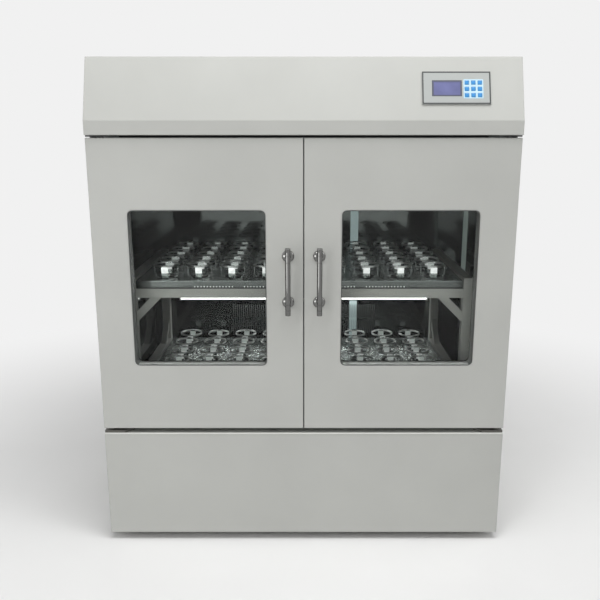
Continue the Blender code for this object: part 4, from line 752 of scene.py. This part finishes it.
def make_station(silver, border, shadow_blue, pale_blue, display, key_blue):
    low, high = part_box("control_panel")
    centre = Vector((STATION_X, (low.y + high.y) / 2, (low.z + high.z) / 2))
    turn = Matrix.Rotation(math.radians(STATION_TILT_DEGREES), 4, "X")
    centre -= turn.to_3x3() @ Vector((0, 0, (GAP + PANEL_THICKNESS) / 2))
    station = Matrix.Translation(centre) @ turn
    half_w = PANEL_WIDTH / 2
    half_h = PANEL_HEIGHT / 2
    screen_low = -DISPLAY_DROP - DISPLAY_HEIGHT / 2
    screen = round_rectangle(DISPLAY_OFFSET - DISPLAY_WIDTH / 2, screen_low,
                             DISPLAY_OFFSET + DISPLAY_WIDTH / 2, screen_low + DISPLAY_HEIGHT, 0.0008, 3)
    reach = KEY_SIZE / 2 + KEY_CLEARANCE
    keys = []
    for row in range(3):
        for column in range(3):
            keys.append((KEY_FIELD_OFFSET + (column - 1) * KEY_PITCH, (1 - row) * KEY_PITCH - KEY_FIELD_DROP))
    openings = [screen]
    for x, up in keys:
        openings.append(round_rectangle(x - reach, up - reach, x + reach, up + reach, 0.0012, 3))
    shape = bmesh.new()
    outline = round_rectangle(-half_w, -half_h, half_w, half_h, PANEL_RADIUS, 3)
    plate(shape, outline, openings, "Z", GAP, PANEL_THICKNESS - 0.0003)
    publish("control_panel_face", shape, silver, "cabinet", replaced=["control_panel"],
            matrix=station, bevel=0.0005)

    shape = bmesh.new()
    edge = BORDER_WIDTH
    inner = round_rectangle(-half_w + edge, -half_h + edge, half_w - edge, half_h - edge, 0.0008, 3)
    outer = round_rectangle(-half_w + 0.0004, -half_h + 0.0004, half_w - 0.0004, half_h - 0.0004, PANEL_RADIUS, 3)
    plate(shape, outer, [inner], "Z", PANEL_THICKNESS - 0.0003, PANEL_THICKNESS - 0.0001)
    rim = round_rectangle(DISPLAY_OFFSET - DISPLAY_WIDTH / 2 - 0.0012, screen_low - 0.0012,
                          DISPLAY_OFFSET + DISPLAY_WIDTH / 2 + 0.0012, screen_low + DISPLAY_HEIGHT + 0.0012, 0.001, 3)
    plate(shape, rim, [screen], "Z", PANEL_THICKNESS - 0.0003, PANEL_THICKNESS - 0.0001)
    # The bezel's print is widest at the top and left, where it also paints the shade inside the display's frame
    bezel = round_rectangle(DISPLAY_OFFSET - DISPLAY_WIDTH / 2 + BEZEL_WIDTH, screen_low + 0.7 * BEZEL_WIDTH,
                            DISPLAY_OFFSET + DISPLAY_WIDTH / 2 - 0.8 * BEZEL_WIDTH,
                            screen_low + DISPLAY_HEIGHT - BEZEL_WIDTH, 0.0008, 3)
    cover = bmesh.new()
    plate(cover, screen, [bezel], "Z", PANEL_THICKNESS - 0.0005, PANEL_THICKNESS - 0.0003)
    publish("display_bezel", cover, shadow_blue, "cabinet", matrix=station)
    publish("control_panel_border", shape, border, "cabinet", matrix=station)

    shape = bmesh.new()
    field = KEY_PITCH + reach + 0.0030
    outer = round_rectangle(KEY_FIELD_OFFSET - field, -KEY_FIELD_DROP - field, KEY_FIELD_OFFSET + field,
                            field - KEY_FIELD_DROP, 0.0022, 4)
    plate(shape, outer, openings[1:], "Z", PANEL_THICKNESS - 0.0003, PANEL_THICKNESS)
    publish("key_surrounds", shape, pale_blue, "cabinet", matrix=station)
    dress(["display"], display)

    for number, (x, up) in enumerate(keys, start=1):
        shape = bmesh.new()
        half = KEY_SIZE / 2
        base = 2 * GAP + 0.0006
        top = PANEL_THICKNESS + 0.0012 - GAP
        loops = []
        for shrink, height in ((0.0, base), (0.0, top - 0.0012), (0.0003, top - 0.0005), (0.0010, top - 0.0001),
                               (0.0026, top)):
            loops.append(loop_at(shape, round_rectangle(x - half + shrink, up - half + shrink, x + half - shrink,
                                                        up + half - shrink, 0.0014, 4), "Z", height))
        for first, second in zip(loops, loops[1:]):
            join_loops(shape, first, second)
        shape.faces.new(loops[0])
        shape.faces.new(loops[-1])
        name = "key_" + str(number)
        publish(name + "_cap", shape, key_blue, name, replaced=[name], matrix=station)


def make_lamp(glow, metal, shaded_liner_sheet):
    low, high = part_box("lamp_tube")
    y = (low.y + high.y) / 2
    z = (low.z + high.z) / 2
    radius = (high.z - low.z) / 2
    glass_radius = 0.74 * radius
    cap = 0.004
    shape = bmesh.new()
    turned(shape, [(glass_radius, low.x + cap), (glass_radius, high.x - cap)], (0, y, z + radius - glass_radius), "X", 28)
    publish("lamp_glass_tube", shape, glow, "cabinet", replaced=["lamp_tube"])
    shape = bmesh.new()
    for end, way in ((low.x, 1), (high.x, -1)):
        turned(shape, [(radius * 0.96, end), (radius, end + way * 0.001), (radius, end + way * cap)], (0, y, z), "X", 28)
    publish("lamp_caps", shape, metal, "cabinet")
    # The lamp holder takes the liner's sheet, painted dark for the chamber's shade
    dress(["lamp_holder"], shaded_liner_sheet)


def make_fins(name, node, alloy, frame_metal, tubes):
    """A heat exchanger: a stack of thin fins between end plates, with straight tubes through them."""
    low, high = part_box(node)
    shape = bmesh.new()
    pitch = 0.0035
    x = low.x + 0.004
    while x < high.x - 0.004:
        box_points(shape, (x, low.y + 0.001, low.z + 0.003), (x + 0.0004, high.y - 0.001, high.z - 0.003))
        x += pitch
    publish(name + "_fins", shape, alloy, "cabinet", replaced=[node])
    shape = bmesh.new()
    for x in (low.x, high.x - 0.0015):
        box_points(shape, (x, low.y, low.z), (x + 0.0015, high.y, high.z))
    for z in (low.z, high.z - 0.0015):
        box_points(shape, (low.x, low.y, z), (high.x, high.y, z + 0.0015))
    publish(name + "_end_plates", shape, frame_metal, "cabinet")
    shape = bmesh.new()
    y = (low.y + high.y) / 2
    rows = int((high.z - low.z - 0.03) / 0.025) + 1
    for row in range(rows):
        z = low.z + 0.015 + row * 0.025
        turned(shape, [(0.0045, low.x + 0.001), (0.0045, high.x - 0.001)], (0, y, z), "X", 14)
    publish(name + "_tubes", shape, tubes, "cabinet")


def make_rear(brass):
    low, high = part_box("mains_inlet")
    shape = bmesh.new()
    middle = (low.x + high.x) / 2
    height = (low.z + high.z) / 2 - 0.014
    floor = high.y - 0.016
    for x, z in ((-0.007, -0.002), (0.007, -0.002), (0.0, 0.003)):
        box_points(shape, (middle + x - 0.0008, floor - 0.0005, height + z - 0.002),
                   (middle + x + 0.0008, floor + 0.012, height + z + 0.002))
    publish("inlet_pins", shape, brass, "cabinet", bevel=0.0003)


def make_header_gap_shade(rubber):
    """Black strip in the gap above the doors, a painted shade for that gap."""
    low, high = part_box("header_cover")
    door_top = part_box("left_door_skin")[1].z
    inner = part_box("right_upper_hinge")[0].x - 0.001
    shape = bmesh.new()
    outline = round_rectangle(high.y - 0.020, door_top + 0.0008, high.y - 0.0002, low.z - 0.0002, 0.0018, 4)
    near = loop_at(shape, outline, "X", -inner)
    far = loop_at(shape, outline, "X", inner)
    shape.faces.new(near)
    shape.faces.new(far)
    join_loops(shape, near, far)
    publish("header_gap_painted_shade", shape, rubber, "cabinet")


def make_meeting_lips(rubber):
    """Two rubber lips that overlap behind each other in the gap between the doors."""
    for door, side, back in (("left_door", -1, 0.0045), ("right_door", 1, 0.0075)):
        low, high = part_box(door + "_skin")
        edge = high.x if side < 0 else low.x
        start, end = sorted((edge - side * 0.0001, -side * 0.0007))
        shape = bmesh.new()
        box_points(shape, (start, low.y + back, low.z + 0.002), (end, low.y + back + 0.0015, high.z - 0.002))
        publish(door + "_meeting_lip", shape, rubber, door)


def make_plinth_edge(highlight_paint):
    """The rounded fold along the plinth's top edge, in a paler coat that paints in its highlight."""
    low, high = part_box("plinth_cover")
    inset = 0.0020
    radius = 0.0030
    outline = []
    for step in range(9):
        angle = math.radians(65 + 140 * step / 8)
        outline.append((low.y + inset + radius * math.cos(angle), high.z - inset + radius * math.sin(angle)))
    shape = bmesh.new()
    near = loop_at(shape, outline, "X", low.x + 0.0004)
    far = loop_at(shape, outline, "X", high.x - 0.0004)
    shape.faces.new(near)
    shape.faces.new(far)
    join_loops(shape, near, far)
    publish("plinth_edge_fold", shape, highlight_paint, "cabinet", sharp=60)


def make_floor(surface):
    shape = bmesh.new()
    reach = 30.0
    points = [shape.verts.new(point) for point in ((-reach, -reach, 0), (reach, -reach, 0), (reach, reach, 0),
                                                    (-reach, reach, 0))]
    shape.faces.new(points)
    mesh = bpy.data.meshes.new("studio_floor")
    shape.to_mesh(mesh)
    shape.free()
    mesh.materials.append(surface)
    floor = bpy.data.objects.new("studio_floor", mesh)
    bpy.context.scene.collection.objects.link(floor)


def seen_directly(tree):
    """One on rays from the camera, and on those that metal or glass sends on; none on diffuse light."""
    path = tree.nodes.new("ShaderNodeLightPath")
    seen = path.outputs["Is Camera Ray"]
    for other in ("Is Glossy Ray", "Is Transmission Ray"):
        more = tree.nodes.new("ShaderNodeMath")
        more.operation = "MAXIMUM"
        tree.links.new(seen, more.inputs[0])
        tree.links.new(path.outputs[other], more.inputs[1])
        seen = more.outputs[0]
    return seen


def floor_material():
    """Pale floor that keeps the object's shadow and runs into the plain backdrop further out."""
    made, tree, shader = node_tree("studio_floor_paint")
    cloud = grain_nodes(tree, (1.0, 1.0, 1.0), 1.2, 4.0)
    base = two_tone(tree, spread(tree, cloud.outputs["Fac"], 0.0, 1.0), (0.79, 0.79, 0.785), (0.82, 0.82, 0.815))
    tree.links.new(base, shader.inputs["Base Color"])
    shader.inputs["Roughness"].default_value = 0.75
    shader.inputs["Specular IOR Level"].default_value = 0.2
    place = tree.nodes.new("ShaderNodeTexCoord")
    reach = tree.nodes.new("ShaderNodeVectorMath")
    reach.operation = "LENGTH"
    tree.links.new(place.outputs["Object"], reach.inputs[0])
    fade = tree.nodes.new("ShaderNodeMapRange")
    fade.interpolation_type = "SMOOTHSTEP"
    fade.inputs["From Min"].default_value = 0.8
    fade.inputs["From Max"].default_value = 2.6
    tree.links.new(reach.outputs["Value"], fade.inputs["Value"])
    share = tree.nodes.new("ShaderNodeMath")
    share.operation = "MULTIPLY"
    tree.links.new(fade.outputs["Result"], share.inputs[0])
    tree.links.new(seen_directly(tree), share.inputs[1])
    plain = tree.nodes.new("ShaderNodeEmission")
    plain.inputs["Color"].default_value = (1.0, 1.0, 1.0, 1.0)
    plain.inputs["Strength"].default_value = BACKDROP_LEVEL
    mixed = tree.nodes.new("ShaderNodeMixShader")
    tree.links.new(share.outputs[0], mixed.inputs[0])
    tree.links.new(shader.outputs["BSDF"], mixed.inputs[1])
    tree.links.new(plain.outputs["Emission"], mixed.inputs[2])
    tree.links.new(mixed.outputs["Shader"], tree.nodes["Material Output"].inputs["Surface"])
    return made


def area_light(name, place, target, size, power):
    lamp = bpy.data.lights.new(name, "AREA")
    lamp.shape = "RECTANGLE"
    lamp.size = size[0]
    lamp.size_y = size[1]
    lamp.energy = power
    made = bpy.data.objects.new(name, lamp)
    bpy.context.scene.collection.objects.link(made)
    made.location = place
    made.rotation_euler = (Vector(target) - Vector(place)).to_track_quat("-Z", "Y").to_euler()


def set_world(ambient):
    """The plain backdrop where the camera, metal or glass looks past the object, and a softer fill elsewhere."""
    world = bpy.data.worlds.new("studio")
    bpy.context.scene.world = world
    world.use_nodes = True
    tree = world.node_tree
    background = tree.nodes["Background"]
    background.inputs["Color"].default_value = (1.0, 1.0, 1.0, 1.0)
    level = tree.nodes.new("ShaderNodeMapRange")
    level.inputs["To Min"].default_value = ambient
    level.inputs["To Max"].default_value = BACKDROP_LEVEL
    tree.links.new(seen_directly(tree), level.inputs["Value"])
    tree.links.new(level.outputs["Result"], background.inputs["Strength"])


def set_camera():
    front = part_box("left_door_skin")[0].y
    data = bpy.data.cameras.new("photo_camera")
    data.lens = CAMERA_LENS
    data.shift_x = CAMERA_SHIFT_X
    made = bpy.data.objects.new("photo_camera", data)
    bpy.context.scene.collection.objects.link(made)
    made.location = (0.0, front - CAMERA_DISTANCE, CAMERA_HEIGHT)
    made.rotation_euler = (math.radians(90 - CAMERA_PITCH_DEGREES), 0.0, 0.0)
    bpy.context.scene.camera = made


def main():
    coat = powder_coat("warm_grey_powder_coat", (0.497, 0.503, 0.478), fold=0.0045)
    top_coat = powder_coat("top_powder_coat", (0.47, 0.476, 0.452), 0.72, fold=0.0045)
    top_coat.node_tree.nodes["Principled BSDF"].inputs["Specular IOR Level"].default_value = 0.15
    # Painted highlight: a paler coat for the plinth's top fold
    edge_highlight_coat = powder_coat("plinth_edge_painted_highlight_coat", (0.60, 0.607, 0.58), 0.35)
    frame_paint = powder_coat("frame_stoving_paint", (0.37, 0.37, 0.345), 0.5, 0.06)
    # Painted shade: near-black colours for the polished liner and rear cover, for the dark inside of the chamber
    shaded_mirror = sheet_metal("mirror_polished_liner_painted_shade", (0.095, 0.103, 0.099), 0.045, wave=0.0012, wave_scale=4.0)
    grille = sheet_metal("polished_rear_cover_painted_shade", (0.095, 0.103, 0.099), 0.045, wave=0.0010, wave_scale=6.0)
    door_inner = sheet_metal("door_inner_sheet", (0.60, 0.61, 0.60), 0.16, wave=0.001, wave_scale=5.0)
    spacer = powder_coat("window_spacer_coat", (0.17, 0.175, 0.165), 0.45)
    # The tray's crystals run from 0.3 to 2.3 times its colour; the bright ones are partly painted glints
    tray = spangled_sheet("tray_sheet", (0.33, 0.36, 0.35), 0.14, 0.3, 2.3)
    lip = sheet_metal("tray_lip_sheet", (0.135, 0.145, 0.14), 0.3, stretch=(0.2, 1.0, 6.0), grain=0.0001)
    fingers = sheet_metal("clamp_spring_steel", (0.36, 0.38, 0.37), 0.2, stretch=(1.0, 1.0, 8.0), grain=0.0001)
    # Painted light: the clamps' facings are near white and glow, though they are no lamp, standing in for the light
    # they catch
    facing = sheet_metal("clamp_facing_steel_painted_glow", (0.93, 0.93, 0.92), 0.32, stretch=(1.0, 1.0, 8.0), grain=0.00005,
                         metallic=0.4, glow=(0.27, 0.28, 0.275))
    inner_facing = sheet_metal("clamp_inner_facing_steel_painted_glow", (0.62, 0.64, 0.63), 0.4, stretch=(1.0, 1.0, 8.0),
                               grain=0.00005, metallic=0.3, glow=(0.175, 0.19, 0.182))
    rib = sheet_metal("grille_rib_steel", (0.13, 0.14, 0.135), 0.35, stretch=(1.0, 1.0, 8.0), grain=0.0001, metallic=0.5)
    wire = sheet_metal("spring_wire", (0.62, 0.63, 0.62), 0.34, stretch=(6.0, 6.0, 1.0), grain=0.0002)
    bright = sheet_metal("bright_screws", (0.68, 0.68, 0.67), 0.22, grain=0.0001)
    # Painted reflection: a dark colour for the polished handles, standing in for the dark surroundings they mirror
    chrome = sheet_metal("polished_handle_steel_painted_dark", (0.17, 0.17, 0.165), 0.07, stretch=(1.0, 1.0, 0.15))
    steel = sheet_metal("machined_steel", (0.44, 0.44, 0.43), 0.32, stretch=(3.0, 3.0, 1.0), grain=0.0002)
    zinc = spangled_sheet("zinc_plated_steel", (0.50, 0.51, 0.50), 0.3, 0.86, 1.12)
    iron = rough_cast("pulley_cast_iron", (0.16, 0.165, 0.17), 0.55)
    fan_alloy = sheet_metal("pressed_fan_alloy", (0.55, 0.55, 0.56), 0.34, stretch=(1.0, 5.0, 1.0), grain=0.0002)
    fins = sheet_metal("fin_stock", (0.62, 0.61, 0.58), 0.36, stretch=(1.0, 1.0, 6.0), grain=0.0001)
    copper = sheet_metal("copper_tube", (0.55, 0.27, 0.16), 0.3, grain=0.0001)
    foam = moulded("insulation_foam", (0.70, 0.62, 0.40), 0.85, grain=0.0006)
    rubber = moulded("door_gasket_rubber", (0.022, 0.022, 0.023), 0.6)
    glazing_edge_and_shadow = moulded("glazing_rubber_and_painted_shadow", (0.06, 0.062, 0.06), 0.5)
    hinge_paint = powder_coat("hinge_paint", (0.115, 0.112, 0.10), 0.4, 0.06)
    black_plastic_and_shade = moulded("black_plastic", (0.018, 0.018, 0.019), 0.4)
    motor = powder_coat("motor_enamel", (0.05, 0.09, 0.15), 0.35, 0.1)
    shell = powder_coat("compressor_enamel", (0.012, 0.012, 0.013), 0.25, 0.2)
    silver = powder_coat("panel_film", (0.42, 0.44, 0.43), 0.36, 0.02)
    shadow_blue = moulded("display_bezel_print_and_painted_shade", (0.085, 0.09, 0.15), 0.4)
    border = moulded("panel_print", (0.05, 0.053, 0.053), 0.45)
    pale_blue = moulded("key_surround_print", (0.52, 0.72, 0.83), 0.45)
    key_blue = moulded("key_caps", (0.035, 0.25, 0.58), 0.38, coat=0.2)
    # Painted light: both strip films glow, though they are no lamps
    strip = moulded("protective_film_painted_glow", (0.10, 0.12, 0.12), 0.35, glow=(0.185, 0.235, 0.235))
    wall_strip = moulded("side_wall_film_painted_glow", (0.15, 0.17, 0.16), 0.4, glow=(0.085, 0.103, 0.095))
    glowing_dots = moulded("lip_holes_lit_from_behind", (0.75, 0.79, 0.77), 0.4, glow=(0.5, 0.53, 0.52))
    # Pale plastic for the lamp caps, and the window's sill painted as lit
    pale_caps_and_lit_ledge = moulded("pale_plastic_and_lit_ledge", (0.60, 0.61, 0.59), 0.45)
    display = display_glass("back_lit_display", (0.15, 0.16, 0.33))
    glass = clear_glass("window_glass", (0.972, 0.985, 0.978))
    glow = lit_tube("lamp_glow", (1.0, 0.99, 0.97), 2.2)

    for name in ("outer_wrapper", "top_cover", "header_cover", "plinth_cover", "left_door_skin", "right_door_skin"):
        dress([name], coat)
        soften(NODES[name], 0.0016, segments=3, weld=True)
    dress(["top_cover"], top_coat)
    dress(["shaker_frame"], frame_paint)
    soften(NODES["shaker_frame"], 0.0022, weld=True)
    dress(["chamber_liner"], shaded_mirror)
    dress(["left_door_liner", "right_door_liner"], door_inner)
    dress(["base_frame", "machine_deck"], zinc)
    dress(["drive_crank", "left_idler_crank", "right_idler_crank"], steel)
    hinges = ["left_lower_hinge", "left_upper_hinge", "right_lower_hinge", "right_upper_hinge"]
    dress(hinges, hinge_paint)
    # Painted shade: the upper hinges, under the header, are drawn black for the shade there; the lower ones keep the
    # hinge paint
    dress(["left_upper_hinge", "right_upper_hinge"], black_plastic_and_shade)
    for name in hinges:
        soften(NODES[name], 0.0008, weld=True)
    dress(["crank_pulley", "motor_pulley"], iron)
    dress(["drive_belt"], rubber)
    dress(["insulation", "left_door_core", "right_door_core"], foam)
    dress(["drive_motor", "circulation_fan_motor", "condenser_fan_motor"], motor)
    dress(["compressor"], shell)
    dress(["circulation_fan", "condenser_fan"], fan_alloy)
    dress(["mains_inlet", "mains_rocker"], black_plastic_and_shade)
    dress(["left_door_outer_glass", "right_door_outer_glass"], glass)

    for door, side in (("left_door", -1), ("right_door", 1)):
        make_window(door, side, glass, spacer, pale_caps_and_lit_ledge, glazing_edge_and_shadow)
        make_handle(door, chrome)
        make_seal(door, rubber)
    make_trays(tray, lip, fingers, facing, inner_facing, wire, bright, glowing_dots, rubber)
    dress(["duct_cover"], grille)
    make_duct_cover(strip, wall_strip, rib, bright)
    make_lamp(glow, pale_caps_and_lit_ledge, shaded_mirror)
    make_station(silver, border, shadow_blue, pale_blue, display, key_blue)
    make_fins("condenser", "condenser", fins, zinc, copper)
    make_fins("evaporator", "evaporator", fins, zinc, copper)
    make_rear(bright)
    make_header_gap_shade(rubber)
    make_meeting_lips(rubber)
    make_plinth_edge(edge_highlight_coat)

    make_floor(floor_material())
    area_light("overhead_softbox", (0.3, -1.25, 4.05), (0.0, -0.3, 0.8), (2.6, 1.6), 104.0)
    area_light("key_softbox", (-1.35, -2.75, 2.35), (0.0, -0.3, 0.8), (0.6, 0.6), 10.0)
    area_light("low_fill_softbox", (-1.45, -2.3, 0.60), (0.0, -0.4, 0.8), (1.05, 0.62), 8.0)
    area_light("left_softbox", (-3.4, -0.6, 2.2), (0.0, 0.0, 0.7), (1.6, 2.2), 22.0)
    area_light("right_softbox", (2.7, -2.0, 2.35), (0.0, -0.2, 0.7), (1.6, 1.8), 22.0)
    area_light("far_right_softbox", (3.5, 0.9, 2.0), (0.0, 0.2, 0.7), (1.6, 2.0), 14.0)
    area_light("back_softbox", (0.0, 3.6, 2.4), (0.0, 0.2, 0.7), (2.6, 1.6), 36.0)
    low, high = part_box("lamp_tube")
    middle = (low + high) / 2
    area_light("chamber_light", (middle.x, middle.y, low.z - 0.004), (middle.x, middle.y, low.z - 1.0), (1.0, 0.02), 0.6)
    set_world(0.165)
    set_camera()
    bpy.context.scene.view_settings.view_transform = "Standard"


main()
